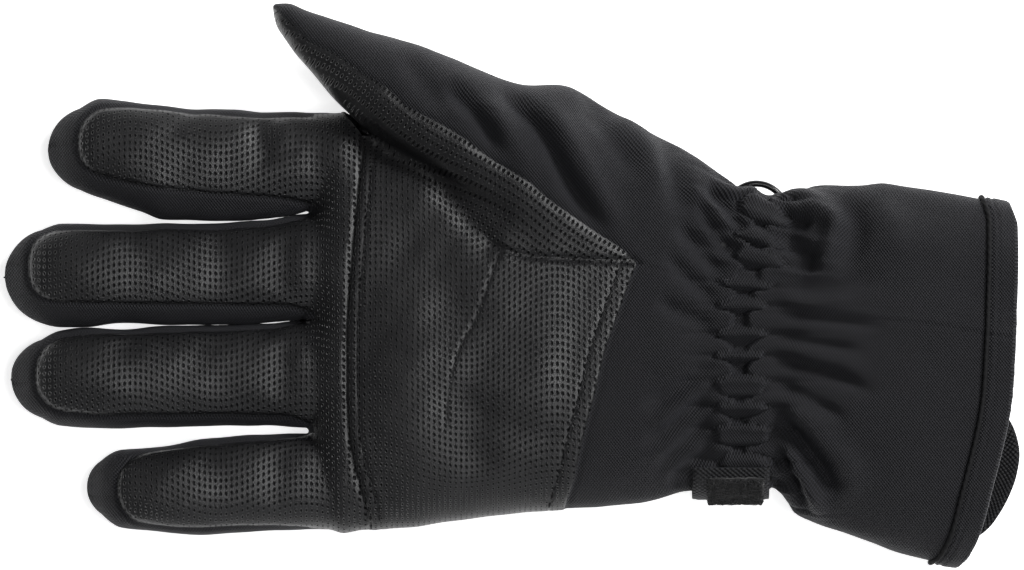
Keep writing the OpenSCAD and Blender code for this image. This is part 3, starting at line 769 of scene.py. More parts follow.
def emboss(rest, kind):
    """Coordinates of the leather's pattern, along and across its wavy rows."""
    x, y, z = rest.T
    if kind == "thumb":
        u, v = thumb_frame(x, y)
        v = v - 1.0 * np.sin(2 * math.pi * u / 60)
        return np.stack([u, v + 0.5 * (curve(u, THUMB_TOP) - z), z], 1)
    if kind == "palm":
        lo, hi = curve(x, PINKY_SIDE), curve(x, HAND_THUMB_SIDE)
        down = np.maximum(curve(x, TOP) - 3 - z, 0)
        v = y + np.sign(y - (lo + hi) / 2) * 0.9 * down
        wave = (3.2 + 2.6 * step(-62, -12, y)) * np.cos(2 * math.pi * (x + 40) / 53) * np.exp(-down / 6)
        return np.stack([x, v - wave, z], 1)
    knots, tip = OUTLINE[kind]
    lo = curve(x, [(k[0], k[1]) for k in knots])
    hi = curve(x, [(k[0], k[2]) for k in knots])
    v = y + np.sign(y - (lo + hi) / 2) * 0.5 * np.maximum(curve(x - tip, FINGER_TOP) - 2 - z, 0)
    wave = 3.6 * np.cos(2 * math.pi * (x + 114) / 52)
    return np.stack([x, v - wave, z], 1)


# ---------------------------------------------------------------- materials


def linear(hex_colour):
    """Linear light from an sRGB hex colour."""
    c = [int(hex_colour[i:i + 2], 16) / 255 for i in (1, 3, 5)]
    return [v / 12.92 if v <= 0.04045 else ((v + 0.055) / 1.055) ** 2.4 for v in c] + [1.0]


def add(tree, kind, settings=None, links=None):
    """A node with its settings, and its inputs joined to other nodes' outputs."""
    node = tree.nodes.new(kind)
    for key, value in (settings or {}).items():
        if isinstance(key, str) and hasattr(node, key):
            setattr(node, key, value)
        else:
            node.inputs[key].default_value = value
    for key, source in (links or {}).items():
        tree.links.new(source, node.inputs[key])
    return node


def new_material(name, colour, roughness, **sockets):
    m = bpy.data.materials.new(name)
    m.use_nodes = True
    t = m.node_tree
    b = t.nodes["Principled BSDF"]
    b.inputs["Base Color"].default_value = linear(colour)
    b.inputs["Roughness"].default_value = roughness
    for key, value in sockets.items():
        b.inputs[key.replace("_", " ")].default_value = value
    return m, t, b


# Size of the leather's cells, and half sizes of the pit in each
PIT_CELL = (1.6, 2.0)
PIT_HALF = (0.36, 0.55)

MATERIALS = {}


def leather():
    """Embossed polyurethane leather: pressed pits with painted shade in them and a painted highlight on their
    rims, and a soft gloss on the skin between.
    """
    if "leather" in MATERIALS:
        return MATERIALS["leather"]
    g = bpy.context.scene.glove
    m, t, b = new_material("embossed polyurethane leather", g.leather_colour, 0.42, Specular_IOR_Level=0.5)
    cloth = add(t, "ShaderNodeAttribute", {"attribute_name": "cloth"}).outputs["Vector"]
    # one pit in each cell: place in the cell, then distance in half sizes of the pit
    per_cell = (1 / PIT_CELL[0], 1 / PIT_CELL[1], 0)
    cells = add(t, "ShaderNodeVectorMath", {"operation": "MULTIPLY", 1: per_cell}, {0: cloth})
    place = add(t, "ShaderNodeVectorMath", {"operation": "FRACTION"}, {0: cells.outputs[0]})
    middle = add(t, "ShaderNodeVectorMath", {"operation": "SUBTRACT", 1: (0.5, 0.5, 0)},
                 {0: place.outputs[0]})
    ratio = (PIT_CELL[0] / PIT_HALF[0], PIT_CELL[1] / PIT_HALF[1], 0)
    pit = add(t, "ShaderNodeVectorMath", {"operation": "MULTIPLY", 1: ratio}, {0: middle.outputs[0]})
    far = add(t, "ShaderNodeVectorMath", {"operation": "LENGTH"}, {0: pit.outputs[0]})
    share = add(t, "ShaderNodeMath", {"operation": "MULTIPLY", 1: 0.4}, {0: far.outputs["Value"]})
    profile = add(t, "ShaderNodeValToRGB", links={0: share.outputs[0]})
    profile.color_ramp.interpolation = "EASE"
    # the profile shapes the bump, and it also sets the painted shade in the pits and the painted highlight on
    # their rims
    stops = [(0.0, 0.0), (0.2, 0.04), (0.34, 0.8), (0.43, 1.0), (0.54, 0.72)]
    e = profile.color_ramp.elements
    while len(e) < len(stops):
        e.new(0.5)
    for el, (pos, val) in zip(e, stops):
        el.position, el.color = pos, (val, val, val, 1)
    grain = add(t, "ShaderNodeTexNoise", {"Scale": 2.6, "Detail": 3.0}, {"Vector": cloth})
    height = add(t, "ShaderNodeMath", {"operation": "MULTIPLY_ADD", 1: 0.12},
                 {0: grain.outputs[0], 2: profile.outputs["Color"]})
    bump = add(t, "ShaderNodeBump", {"Strength": 1.0, "Distance": g.pit_depth}, {"Height": height.outputs[0]})
    t.links.new(bump.outputs[0], b.inputs["Normal"])
    # handling has polished the skin unevenly
    wear = add(t, "ShaderNodeTexNoise", {"Scale": 0.09, "Detail": 2.0}, {"Vector": cloth})
    rough = add(t, "ShaderNodeMath", {"operation": "MULTIPLY_ADD", 1: 0.2, 2: 0.28}, {0: wear.outputs[0]})
    t.links.new(rough.outputs[0], b.inputs["Roughness"])
    # painted shade: the base colour goes almost black in the pits; painted highlight: the rims are lighter than
    # the skin between, both following the pit profile
    shade = add(t, "ShaderNodeMix", {"data_type": "RGBA"}, {0: profile.outputs["Color"]})
    shade.inputs[6].default_value = linear("#050506")
    shade.inputs[7].default_value = linear(g.leather_colour)
    t.links.new(shade.outputs[2], b.inputs["Base Color"])
    gloss = add(t, "ShaderNodeMath", {"operation": "MULTIPLY_ADD", 1: 0.6, 2: 0.1},
                {0: profile.outputs["Color"]})
    t.links.new(gloss.outputs[0], b.inputs["Specular IOR Level"])
    MATERIALS["leather"] = m
    return m


def woven(name, colour, pitch, lift, roughness, sheen=0.06):
    """Plain-woven polyester: matt, with a painted highlight in specks on the threads, painted shade between
    them, and a faint bluish cast. Its threads of about 0.3 mm are drawn at the given pitch, so that they show."""
    if name in MATERIALS:
        return MATERIALS[name]
    m, t, b = new_material(name, colour, roughness, Specular_IOR_Level=0.3, Sheen_Weight=sheen,
                           Sheen_Roughness=0.45)
    b.inputs["Sheen Tint"].default_value = linear("#c8cad6")
    cloth = add(t, "ShaderNodeAttribute", {"attribute_name": "cloth"}).outputs["Vector"]
    side = add(t, "ShaderNodeAttribute", {"attribute_name": "side"})
    k = 2 * math.pi / pitch
    turn = add(t, "ShaderNodeVectorMath", {"operation": "MULTIPLY", 1: (k, k * 0.8, k * 0.8)}, {0: cloth})
    wave = add(t, "ShaderNodeVectorMath", {"operation": "SINE"}, {0: turn.outputs[0]})
    xyz = add(t, "ShaderNodeSeparateXYZ", links={0: wave.outputs[0]})
    flat = add(t, "ShaderNodeMath", {"operation": "MULTIPLY"}, {0: xyz.outputs[0], 1: xyz.outputs[1]})
    steep = add(t, "ShaderNodeMath", {"operation": "MULTIPLY"}, {0: xyz.outputs[0], 1: xyz.outputs[2]})
    weave = add(t, "ShaderNodeMix", {"data_type": "FLOAT"},
                {0: side.outputs["Fac"], 2: flat.outputs[0], 3: steep.outputs[0]})
    # threads are not all alike
    uneven = add(t, "ShaderNodeTexNoise", {"Scale": 1.3, "Detail": 3.0, "Roughness": 0.7}, {"Vector": cloth})
    height = add(t, "ShaderNodeMath", {"operation": "MULTIPLY_ADD", 1: 1.1},
                 {0: uneven.outputs[0], 2: weave.outputs[0]})
    bump = add(t, "ShaderNodeBump", {"Strength": 1.0, "Distance": lift}, {"Height": height.outputs[0]})
    t.links.new(bump.outputs[0], b.inputs["Normal"])
    # painted highlight: specks of light on the threads, and painted shade between them, put into the base
    # colour
    painted_glint = add(t, "ShaderNodeMath", {"operation": "MULTIPLY"}, {0: weave.outputs[0], 1: uneven.outputs[0]})
    painted_light_mix = add(t, "ShaderNodeMath", {"operation": "MULTIPLY_ADD", 1: 1.7, 2: 0.42, "use_clamp": True},
               {0: painted_glint.outputs[0]})
    shade = add(t, "ShaderNodeMix", {"data_type": "RGBA"}, {0: painted_light_mix.outputs[0]})
    # dark end for the painted shade, light end for the painted highlight
    shade.inputs[6].default_value = [c * 0.25 for c in linear(colour)[:3]] + [1]
    shade.inputs[7].default_value = [c * 2.8 for c in linear(colour)[:3]] + [1]
    t.links.new(shade.outputs[2], b.inputs["Base Color"])
    MATERIALS[name] = m
    return m


def plain(name, colour, roughness, scale, lift, **sockets):
    """A finish with a fine uneven surface, on a CAD piece or a small one."""
    if name in MATERIALS:
        return MATERIALS[name]
    m, t, b = new_material(name, colour, roughness, **sockets)
    where = add(t, "ShaderNodeTexCoord")
    noise = add(t, "ShaderNodeTexNoise", {"Scale": scale, "Detail": 4.0}, {"Vector": where.outputs["Object"]})
    bump = add(t, "ShaderNodeBump", {"Strength": 1.0, "Distance": lift}, {"Height": noise.outputs[0]})
    t.links.new(bump.outputs[0], b.inputs["Normal"])
    shade = add(t, "ShaderNodeMix", {"data_type": "RGBA"}, {0: noise.outputs[0]})
    c = linear(colour)
    shade.inputs[6].default_value = [v * 0.6 for v in c[:3]] + [1]
    shade.inputs[7].default_value = [v * 1.4 for v in c[:3]] + [1]
    t.links.new(shade.outputs[2], b.inputs["Base Color"])
    MATERIALS[name] = m
    return m


def shell_fabric():
    """The glove's outer cloth, tight and even."""
    return woven("woven polyester", bpy.context.scene.glove.fabric_colour, 0.9, 0.0002, 0.7)


def webbing():
    """Nylon webbing: the same weave, coarser, darker and a little smoother."""
    return woven("woven webbing", bpy.context.scene.glove.webbing_colour, 1.3, 0.00025, 0.65)


def tape_plain():
    """Flat woven nylon tape: matt, its weave too fine to see one by one."""
    return plain("flat woven tape", "#121214", 0.7, 1400, 0.0002)


def brushed_fleece():
    """Brushed polyester fleece: a dull, light-swallowing nap with a faint glow at its edges."""
    return plain("brushed fleece", "#1c1c1f", 0.95, 900, 0.0006, Sheen_Weight=0.12)


def cover(node, material):
    """Gives a CAD piece its finish."""
    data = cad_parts[node].data
    data.materials.clear()
    data.materials.append(material)


# ---------------------------------------------------------------- operators


class GloveProperties(bpy.types.PropertyGroup):
    leather_colour: bpy.props.StringProperty(name="Leather", description="Colour of the leather",
                                             default="#151517")
    fabric_colour: bpy.props.StringProperty(name="Fabric", description="Colour of the outer fabric",
                                            default="#111114")
    webbing_colour: bpy.props.StringProperty(name="Webbing", description="Colour of strap and hang loop",
                                             default="#0d0d0f")
    skin: bpy.props.FloatProperty(name="Skin", description="Thickness of leather and fabric", default=0.0008,
                                  min=0.0004, max=0.0012, subtype="DISTANCE", unit="LENGTH")
    pit_depth: bpy.props.FloatProperty(name="Pits", description="Depth of the leather's pits", default=0.00105,
                                       min=0, max=0.002, subtype="DISTANCE", unit="LENGTH")
    fold_depth: bpy.props.FloatProperty(name="Folds", default=1.8, min=0, max=2.5,
                                        description="How many times deeper than listed the folds are")


def sewn(name, m, material, lip=0.6, t=None):
    t = bpy.context.scene.glove.skin / MM if t is None else t
    return piece(name, thicken(m, t, lip), material)


class GLOVE_OT_fingers(bpy.types.Operator):
    """Leather fronts and fabric sides and backs of the four fingers"""

    bl_idname = "glove.fingers"
    bl_label = "Fingers"

    def execute(self, context):
        for name in FINGERS:
            m = forms()[name]
            rest = m.at["rest"]
            m = cut(m, -across(rest[:, 1], rest[:, 0], LAPPED))
            m = cut(m, finger_border(m.at["rest"], name))
            g = finger_leather(m.at["rest"], name)
            x, y, z = m.at["rest"].T
            root = np.where(x > -60, np.maximum(g, np.minimum(z - 15, (x + 59.5) * 0.8)), g)
            front, sides = cut(m, root), cut(m, -root)
            front.at["cloth"] = emboss(front.at["rest"], name)
            a = sewn(name + "_leather", front, leather())
            b = sewn(name + "_shell", sides, shell_fabric())
            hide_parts(name + "_front")
            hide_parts(name + "_fourchette", name + "_back")
            for o in (a, b):
                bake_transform(o)
        return {"FINISHED"}


class GLOVE_OT_thumb(bpy.types.Operator):
    """Leather front and fabric back of the thumb"""

    bl_idname = "glove.thumb"
    bl_label = "Thumb"

    def execute(self, context):
        m = cut(forms()["thumb"], thumb_share(forms()["thumb"].at["rest"]))
        g = thumb_leather(m.at["rest"])
        front, back = cut(m, g), cut(m, -g)
        front.at["cloth"] = emboss(front.at["rest"], "thumb")
        a = sewn("thumb_leather", front, leather())
        b = sewn("thumb_shell", back, shell_fabric())
        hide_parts("thumb_front", "thumb_base_front")
        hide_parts("thumb_back", "thumb_root_gusset")
        for o in (a, b):
            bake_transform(o)
        return {"FINISHED"}


class GLOVE_OT_hand(bpy.types.Operator):
    """Palm leather, heel, thumb side and back of the hand, wrist and cuff"""

    bl_idname = "glove.hand"
    bl_label = "Hand and cuff"

    def execute(self, context):
        m = forms()["hand"]
        rest = m.at["rest"]
        m = cut(m, across(rest[:, 1], rest[:, 0], LAPPED))
        m = cut(m, -thumb_share(m.at["rest"]))
        m = cut(m, hem_gap(m.at["rest"]) - 6.8)
        g = palm_leather(m.at["rest"])
        palm, cloth = cut(m, g), cut(m, -g)
        palm.at["cloth"] = emboss(palm.at["rest"], "palm")
        a = sewn("palm_leather", palm, leather())
        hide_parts("palm_panel_upper", "palm_panel_lower")
        x, y, z = cloth.at["rest"].T
        zc = (curve(x, UNDER) + curve(x, TOP)) / 2
        front = z - zc + 4.5
        heel = across(x, y, HEEL_SEAM)
        groups = (
            ("heel_and_cuff_front", np.minimum(front, -heel),
             ("heel_panel", "cuff_palm_panel", "wrist_gather")),
            ("thumb_side_and_cuff", np.minimum(front, heel), ("thumb_side_panel",)),
            ("back_of_hand_and_cuff", -front,
             ("back_panel", "outer_side_gusset", "finger_root_gussets", "cuff_back_panel")),
        )
        made = [a]
        for name, g, nodes in groups:
            o = sewn(name, cut(cloth, g), shell_fabric())
            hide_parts(*nodes)
            made.append(o)
        for o in made:
            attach(o, "hand")
        return {"FINISHED"}


def hem_gap(rest):
    """Distance along the glove to the hem's edge, above 0 inside it."""
    x, y, z = rest.T
    lo, hi = curve(x, PINKY_SIDE), curve(x, HAND_THUMB_SIDE)
    place = (y - (lo + hi) / 2) / ((hi - lo) / 2)
    return curve(np.clip(place, -1, 1), HEM) - x


class GLOVE_OT_hem(bpy.types.Operator):
    """Hem binding and the lining inside the cuff"""

    bl_idname = "glove.hem"
    bl_label = "Hem"

    def execute(self, context):
        m = forms()["hand"]
        rest = m.at["rest"]
        rolled = m.copy()
        gap = hem_gap(rest)
        out = 0.9 * (1 - step(6.0, 7.4, gap))
        groove = 0.45 * dip(gap - 5.2, 0.45)
        rolled.co = rolled.co + rolled.at["no"] * (out - groove)[:, None]
        rolled.at["no"] = normals(rolled.co, rolled.tri)
        binding = cut(rolled, np.minimum(gap - 0.4, 7.4 - gap))
        a = sewn("hem_binding_rolled", binding, shell_fabric(), 1.0, 2.4)
        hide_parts("hem_binding")
        lining = m.copy()
        fluff = 0.25 * waves(rest, 5, 11)
        lining.co = lining.co - lining.at["no"] * (2.1 + fluff)[:, None]
        lining = cut(lining, np.minimum(gap - 4.5, rest[:, 0] - 60))
        b = sewn("cuff_fleece", lining, brushed_fleece(), 0, 0.8)
        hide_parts("cuff_lining")
        for o in (a, b):
            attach(o, "hand")
        return {"FINISHED"}


# Inner layers: name in CAD and here, place under the glove's form, thickness, and where the hand's part ends
LAYERS = (("insulation", "wadding", -5.0, 1.0, 36), ("lining", "fleece", -6.6, 0.6, 46))
LAYER_CELL = 1.8


def inner(field, room, cell, level):
    """A plain surface under the glove's form."""
    m = surface(field, *room, cell, level)
    m.at["no"] = normals(m.co, m.tri)
    return m


class GLOVE_OT_layers(bpy.types.Operator):
    """Insulation and lining inside the hand, fingers and thumb"""

    bl_idname = "glove.layers"
    bl_label = "Inner layers"

    def execute(self, context):
        # polyester wadding: pale, fluffy and without a shine
        fill = plain("polyester wadding", "#d8d8d2", 0.9, 300, 0.0006)
        for layer, piece_name, level, t, end in LAYERS:
            mat, slot = (fill, "insulation") if layer == "insulation" else (brushed_fleece(), "fleece")
            for name in FINGERS:
                m = inner(with_finger(name), finger_room(name, 34), LAYER_CELL, level)
                m = cut(m, -across(m.co[:, 1], m.co[:, 0], LAPPED), 0.3)
                m = cut(m, finger_border(m.co, name) - 0.2, 0.3)
                o = sewn(f"{name}_{piece_name}", m, mat, 0, t)
                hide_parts(f"{name}_{layer}")
                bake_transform(o)
            m = inner(body, THUMB_ROOM, LAYER_CELL, level)
            m = cut(m, thumb_inside(m.co), 0.3)
            o = sewn(f"thumb_{piece_name}", m, mat, 0, t)
            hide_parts(f"thumb_{layer}")
            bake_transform(o)
            m = inner(with_fingers, ((-58, -90, -1), (90, 76, 42)), LAYER_CELL, level)
            m = cut(m, np.minimum(across(m.co[:, 1], m.co[:, 0], LAPPED), end - m.co[:, 0]), 0.3)
            m = cut(m, -thumb_inside(m.co), 0.3)
            o = sewn(f"hand_{piece_name}", m, mat, 0, t)
            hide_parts(f"hand_{layer}")
            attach(o, "hand")
        # knitted elastic: dull rubbery cords under a close knit
        elastic = plain("knitted elastic", "#1a1a1c", 0.8, 900, 0.0003)
        for number, x in enumerate((62.0, 73.0)):
            m = inner(with_fingers, ((56, -64, 4), (82, 36, 36)), 1.2, -7.2)
            o = sewn(f"wrist_elastic_{number + 1}", cut(m, 3 - np.abs(m.co[:, 0] - x)), elastic, 0, 0.8)
            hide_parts("wrist_elastic")
            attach(o, "hand")
        return {"FINISHED"}


def tube(path, radius, sides=10, twist=None, closed=False):
    """A round cord along a path; twist is its lay in mm and its relief."""
    path = np.asarray(path, float)
    n = len(path)
    ahead = np.roll(path, -1, 0) - np.roll(path, 1, 0)
    if not closed:
        ahead[0], ahead[-1] = path[1] - path[0], path[-1] - path[-2]
    ahead = unit(ahead)
    up = unit(np.cross(ahead, [0.3, 0.2, 1]))
    other = np.cross(ahead, up)
    phi = np.arange(sides) * 2 * math.pi / sides
    length = np.concatenate([[0], np.cumsum(np.linalg.norm(np.diff(path, axis=0), axis=1))])
    r = np.full((n, sides), radius)
    if twist:
        r = r * (1 + twist[1] * np.cos(3 * phi[None, :] + 2 * math.pi * length[:, None] / twist[0]))
    if not closed:
        r[0] *= 0.55
        r[-1] *= 0.55
    out = np.cos(phi)[None, :, None] * up[:, None] + np.sin(phi)[None, :, None] * other[:, None]
    co = (path[:, None] + r[..., None] * out).reshape(-1, 3)
    i, j = np.meshgrid(np.arange(n if closed else n - 1), np.arange(sides), indexing="ij")
    a, b = i * sides + j, i * sides + (j + 1) % sides
    c, d = ((i + 1) % n) * sides + (j + 1) % sides, ((i + 1) % n) * sides + j
    tri = np.concatenate([np.stack([a, b, c], -1).reshape(-1, 3), np.stack([a, c, d], -1).reshape(-1, 3)])
    if not closed:
        co = np.concatenate([co, path[[0, -1]]])
        k = np.arange(sides)
        after, start, end = (k + 1) % sides, np.full(sides, n * sides), (n - 1) * sides
        caps = np.stack([after, k, start], 1), np.stack([end + k, end + after, start + 1], 1)
        tri = np.concatenate([tri, *caps])
    return Sheet(co, tri, cloth=co.copy())


def band(path, width, t, rib=0.0, pitch=2.2, wide=(1, 0, 0)):
    """A flat tape of real thickness along a path; wide is the direction across it."""
    path = np.asarray(path, float)
    wide = unit(np.zeros_like(path) + wide)
    n, m = len(path), 13
    ahead = unit(np.gradient(path, axis=0))
    flat = unit(np.cross(ahead, wide))
    length = np.concatenate([[0], np.cumsum(np.linalg.norm(np.diff(path, axis=0), axis=1))])
    v = np.linspace(-0.5, 0.5, m)
    edge = np.sqrt(np.clip(1 - np.clip((np.abs(v) * width - width / 2 + t) / t, 0, 1) ** 2, 0.12, 1))
    ribs = rib * np.cos(2 * math.pi * v * width / pitch)[None, :]
    rows = []
    for side in (1, -1):
        h = (t / 2 * edge[None, :] + ribs) * side
        rows.append(path[:, None] + wide[:, None] * (v * width)[None, :, None] + flat[:, None] * h[..., None])
    loop = np.concatenate([rows[0], rows[1][:, ::-1]], 1)
    k = 2 * m
    co = loop.reshape(-1, 3)
    i, j = np.meshgrid(np.arange(n - 1), np.arange(k), indexing="ij")
    a, b, c, d = i * k + j, i * k + (j + 1) % k, (i + 1) * k + (j + 1) % k, (i + 1) * k + j
    tri = [np.stack([a, b, c], -1).reshape(-1, 3), np.stack([a, c, d], -1).reshape(-1, 3)]
    for i0, flip in ((0, True), (n - 1, False)):
        j = np.arange(m - 1)
        q = np.stack([i0 * k + j, i0 * k + j + 1, i0 * k + k - 2 - j, i0 * k + k - 1 - j], 1)
        q = q[:, ::-1] if flip else q
        tri += [q[:, [0, 1, 2]], q[:, [0, 2, 3]]]
    u = np.repeat(length[:, None], k, 1).reshape(-1)
    w = np.tile(np.concatenate([v, v[::-1]]) * width, n)
    cloth = np.stack([u, w, np.zeros_like(u)], 1)
    return Sheet(co, np.concatenate(tri), cloth=cloth, side=np.zeros((len(co), 1)))


def joined(sheets):
    """Several sheets as one."""
    start = np.cumsum([0] + [len(m.co) for m in sheets])
    keys = set(sheets[0].at)
    return Sheet(np.concatenate([m.co for m in sheets]),
                 np.concatenate([m.tri + k for m, k in zip(sheets, start)]),
                 **{key: np.concatenate([m.at[key] for m in sheets]) for key in keys})


def outward(m):
    """Turns the faces of a closed sheet to the outside."""
    a, b, c = (m.co[m.tri[:, i]] for i in range(3))
    if np.einsum("ij,ij->", a, np.cross(b, c)) < 0:
        m.tri = m.tri[:, ::-1]
    return m


WRIST_EDGE = (-53.5, 19.65)     # middle of the strap's turn round the wrist's edge, as y and z


def wrist_arc(x, r, a0, a1, steps):
    """Points on the strap's turn round the wrist's edge."""
    a = np.radians(np.linspace(a0, a1, steps))
    return np.stack([np.full(steps, x), WRIST_EDGE[0] + r * np.cos(a), WRIST_EDGE[1] + r * np.sin(a)], 1)


def skin_tree():
    """The hand's finished surface, for laying stitches on."""
    if "tree" not in FORM:
        m = forms()["hand"]
        FORM["tree"] = BVHTree.FromPolygons(m.co.tolist(), m.tri.tolist())
    return FORM["tree"]


def stitches(paths, length=1.9, pitch=2.7, radius=0.24):
    """Short threads lying in the surface along paths over the palm side."""
    tree = skin_tree()
    made = []
    for path in paths:
        path = np.asarray(path, float)
        step_len = np.linalg.norm(np.diff(path, axis=0), axis=1)
        at = np.concatenate([[0], np.cumsum(step_len)])
        for s0 in np.arange(0.5, at[-1] - length, pitch):
            pts = []
            for s in np.linspace(s0, s0 + length, 5):
                q = [np.interp(s, at, path[:, i]) for i in range(path.shape[1])]
                if len(q) == 2:
                    hit = tree.ray_cast(Vector((q[0], q[1], 60)), Vector((0, 0, -1)))
                else:
                    hit = tree.find_nearest(Vector(q))
                if hit[0] is None:
                    break
                k = (s - s0) / length
                pts.append(np.array(hit[0] + hit[1] * (radius * (1.6 * math.sin(math.pi * k) - 0.7))))
            if len(pts) == 5:
                made.append(tube(pts, radius, 6))
    return joined(made)


def seam_points(knots, a, b, shift):
    """Points in the plane along a seam given as x against y."""
    y = np.arange(a, b, 1.0)
    return np.stack([curve(y, knots) + shift, y], 1)


def hem_ring(gap, out, count=420):
    """Points round the cuff at that distance from the hem's edge."""
    a = np.linspace(0, 2 * math.pi, count, endpoint=False)
    c, d = np.cos(a), np.sin(a)
    place = np.sign(c) * np.abs(c) ** (2 / 2.8)
    x = curve(place, HEM) - gap
    lo, hi, under, top = (curve(x, k) for k in (PINKY_SIDE, HAND_THUMB_SIDE, UNDER, TOP))
    y = (lo + hi) / 2 + (hi - lo) / 2 * place
    z = (under + top) / 2 + (top - under) / 2 * np.sign(d) * np.abs(d) ** (2 / 2.8)
    tree = skin_tree()
    pts = []
    for q in np.stack([x, y, z], 1):
        hit = tree.find_nearest(Vector(q))
        pts.append(np.array(hit[0] + hit[1] * out))
    pts = np.array(pts)
    for _ in range(4):
        pts = (np.roll(pts, 1, 0) + 2 * pts + np.roll(pts, -1, 0)) / 4
    return pts


class GLOVE_OT_stitching(bpy.types.Operator):
    """Threads of the lapped seam, the leather's end and the hem, and the twisted bead"""

    bl_idname = "glove.stitching"
    bl_label = "Stitching"

    def execute(self, context):
        # bonded nylon thread: fine and dark, with only a dull shine
        thread = plain("bonded nylon thread", "#0c0c0e", 0.8, 3000, 0.00008, Specular_IOR_Level=0.25)
        rows = [seam_points(LAPPED, -74, 43, 0.9), seam_points(LAPPED, -74, 43, 3.6),
                seam_points(LEATHER_END, -70, 6, -4.7)]
        o = piece("palm_stitches", stitches(rows), thread)
        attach(o, "hand")
        bead = tube(hem_ring(8.0, 0.55, 700), 0.72, 12, (2.6, 0.14), True)
        o = piece("hem_bead_twisted", outward(bead), thread)
        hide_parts("hem_bead")
        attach(o, "hand")
        ring = hem_ring(5.9, 0.55, 420)
        o = piece("hem_stitches", stitches([np.concatenate([ring, ring[:1]])], 2.2, 3.1, 0.22), thread)
        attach(o, "hand")
        return {"FINISHED"}


class GLOVE_OT_strap(bpy.types.Operator):
    """Wrist strap with its loop pile patch, its tail with hook tape, and the D-ring"""

    bl_idname = "glove.strap"
    bl_label = "Wrist strap"

    def execute(self, context):
        tape = webbing()
        # moulded acetal: smooth and shiny
        gloss = plain("moulded acetal", "#0b0b0d", 0.2, 400, 0.00002)
        # loop pile: a soft black fuzz; hook tape: hard, with a slight glint
        pile = plain("loop pile", "#0d0d0f", 0.9, 1300, 0.0007, Sheen_Weight=0.12)
        hooks = plain("hook tape", "#161618", 0.5, 2200, 0.0007)
        x = 67.5
        path = np.concatenate([wrist_arc(x - 2, 10.4, 96, 270, 60),
                               [[x - 2, y, 8.1] for y in np.linspace(-52, -6, 40)]])
        m = band(path, 23, 1.0, 0.05, 2.4)
        o = piece("strap_base_webbing", outward(m), tape)
        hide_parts("strap_base")
        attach(o, "hand")
        rng = np.random.default_rng(7)
        path = np.concatenate([wrist_arc(x - 0.5, 11.4, 112, 268, 120),
                               [[x - 1, y, 7.2] for y in np.linspace(-52.5, -8, 60)]])
        m = band(path, 16.5, 0.9)
        m.co = m.co + rng.normal(size=m.co.shape) * 0.12
        loops = []
        for _ in range(1500):
            k = rng.uniform(0, 119)
            i = int(k)
            c = path[i] + (path[i + 1] - path[i]) * (k - i)
            out = np.array([0, 0, -1.0])
            if i < 118:
                out = unit(np.array([[0, c[1] - WRIST_EDGE[0], c[2] - WRIST_EDGE[1]]]))[0]
            c = c + [rng.uniform(-8, 8), 0, 0] + out * 0.4
            d = rng.normal(size=3)
            d -= out * (d @ out)
            d /= np.linalg.norm(d)
            r = rng.uniform(0.35, 0.7)
            arch = ((-1, 0), (-0.6, 0.9), (0, 1.2), (0.6, 0.9), (1, 0))
            loops.append(tube([c + d * r * along + out * r * high for along, high in arch], 0.09, 3))
        fuzz = joined([Sheet(q.co, q.tri) for q in loops + [m]])
        o = piece("strap_loop_pile", fuzz, pile)
        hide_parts("strap_loop_patch")
        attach(o, "hand")
        path = np.array([[x, y, 4.2 + 0.25 * math.sin(y * 0.3)] for y in np.linspace(-42, 8, 50)])
        m = band(path, 22, 1.1, 0.05, 2.4)
        o = piece("strap_tail_webbing", outward(m), tape)
        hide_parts("strap_tail")
        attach(o, "strap_end")
        path = np.array([[x, y, 5.15] for y in np.linspace(-40, -8, 60)])
        m = band(path, 16, 0.6)
        m.co[:, 2] += 0.15 * np.maximum(np.sin(m.co[:, 0] * 5.2), 0) * np.maximum(np.sin(m.co[:, 1] * 5.2), 0)
        o = piece("strap_hooks", outward(m), hooks)
        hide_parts("strap_hook_patch")
        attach(o, "strap_end")
        cover("d_ring", gloss)
        cover("strap_anchor", tape_plain())
        cover("ring_tab", tape_plain())
        return {"FINISHED"}


class GLOVE_OT_hang_loop(bpy.types.Operator):
    """Ribbed hang loop at the hem, with its bartacks"""

    bl_idname = "glove.hang_loop"
    bl_label = "Hang loop"

    def execute(self, context):
        path = smooth_path([(139, -40, 6.8), (144.5, -42, 7.4), (147, -46, 8), (148, -51, 8.3),
                            (147.3, -56, 8.3),
                            (145.6, -61, 8.1), (143, -66, 7.8), (140, -70, 7.4), (136, -72.5, 7),
                            (131.5, -73.5, 6.6)], 10)
        u = np.linspace(0, 1, len(path))
        ahead = unit(np.gradient(path, axis=0))
        out = unit(np.cross(ahead, [0, 0, 1]) * [-1, -1, 0])
        if out[len(out) // 2, 0] < 0:
            out = -out
        tilt = np.radians(curve(u, [(0, 80), (0.3, 70), (0.7, 66), (1, 80)]))
        wide = np.sin(tilt)[:, None] * out + np.cos(tilt)[:, None] * np.array([0, 0, 1.0])
        m = band(path, 10, 1.1, 0.07, 1.1, wide)
        o = piece("hang_loop_tape", outward(m), webbing())
        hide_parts("hang_loop")
        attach(o, "loop")
        cover("hang_loop_bartack", tape_plain())
        return {"FINISHED"}


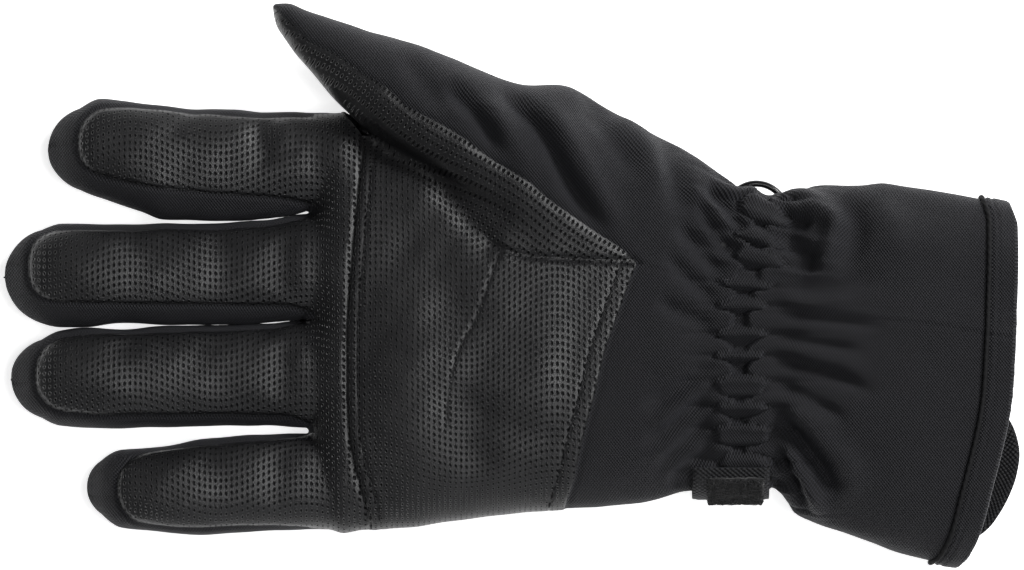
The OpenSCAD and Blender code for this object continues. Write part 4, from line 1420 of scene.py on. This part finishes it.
class GLOVE_OT_stage(bpy.types.Operator):
    """Floor, lights and camera"""

    bl_idname = "glove.stage"
    bl_label = "Stage"

    def execute(self, context):
        scene = context.scene
        bpy.ops.mesh.primitive_plane_add(size=12, location=(0, 0, 0))
        floor = context.object
        floor.name = "floor"
        m, t, b = new_material("matt white paper", "#ffffff", 0.9, Specular_IOR_Level=0.1,
                               Emission_Color=linear("#ffffff"), Emission_Strength=0.75)
        floor.data.materials.append(m)
        for name, place, size, power, colour in (
            ("key", (1.05, 0.75, 0.95), (0.7, 0.5), 25, (1, 1, 1)),
            ("above", (0.5, -0.05, 1.7), (0.7, 0.7), 15, (1, 1, 1)),
            ("fill", (0.3, -1.4, 1.0), (1.2, 0.6), 3, (0.96, 0.98, 1)),
        ):
            d = bpy.data.lights.new(name, "AREA")
            d.shape, d.size, d.size_y, d.energy, d.color = "RECTANGLE", size[0], size[1], power, colour
            o = bpy.data.objects.new(name, d)
            o.location = place
            o.rotation_euler = (Vector((0, 0, 0)) - Vector(place)).to_track_quat("-Z", "Y").to_euler()
            scene.collection.objects.link(o)
        world = bpy.data.worlds.new("studio")
        world.use_nodes = True
        world.node_tree.nodes["Background"].inputs[0].default_value = (1, 1, 1, 1)
        world.node_tree.nodes["Background"].inputs[1].default_value = 0.1
        scene.world = world
        cam = bpy.data.cameras.new("camera")
        distance, plane, view = 3.0, 0.018, 0.3072
        cam.sensor_width = 36
        cam.lens = 36 * (distance - plane) / view
        o = bpy.data.objects.new("camera", cam)
        o.location = (0, 0, distance)
        scene.collection.objects.link(o)
        scene.camera = o
        scene.view_settings.view_transform = "Standard"
        return {"FINISHED"}


class GLOVE_PT_panel(bpy.types.Panel):
    """Lists the glove's pieces"""

    bl_label = "Glove"
    bl_idname = "GLOVE_PT_panel"
    bl_space_type = "VIEW_3D"
    bl_region_type = "UI"
    bl_category = "Glove"

    def draw(self, context):
        g = context.scene.glove
        for key in ("leather_colour", "fabric_colour", "webbing_colour", "skin", "pit_depth", "fold_depth"):
            self.layout.prop(g, key)
        for op in OPERATORS:
            self.layout.operator(op.bl_idname)


OPERATORS = (GLOVE_OT_fingers, GLOVE_OT_thumb, GLOVE_OT_hand, GLOVE_OT_hem, GLOVE_OT_layers,
             GLOVE_OT_stitching, GLOVE_OT_strap, GLOVE_OT_hang_loop, GLOVE_OT_stage)
CLASSES = (GloveProperties, *OPERATORS, GLOVE_PT_panel)


def register():
    for c in CLASSES:
        bpy.utils.register_class(c)
    bpy.types.Scene.glove = bpy.props.PointerProperty(type=GloveProperties)


def unregister():
    del bpy.types.Scene.glove
    for c in reversed(CLASSES):
        bpy.utils.unregister_class(c)


def main():
    register()
    bpy.ops.glove.fingers()
    bpy.ops.glove.thumb()
    bpy.ops.glove.hand()
    bpy.ops.glove.hem()
    bpy.ops.glove.layers()
    bpy.ops.glove.stitching()
    bpy.ops.glove.strap()
    bpy.ops.glove.hang_loop()
    bpy.ops.glove.stage()


if __name__ == "__main__":
    main()
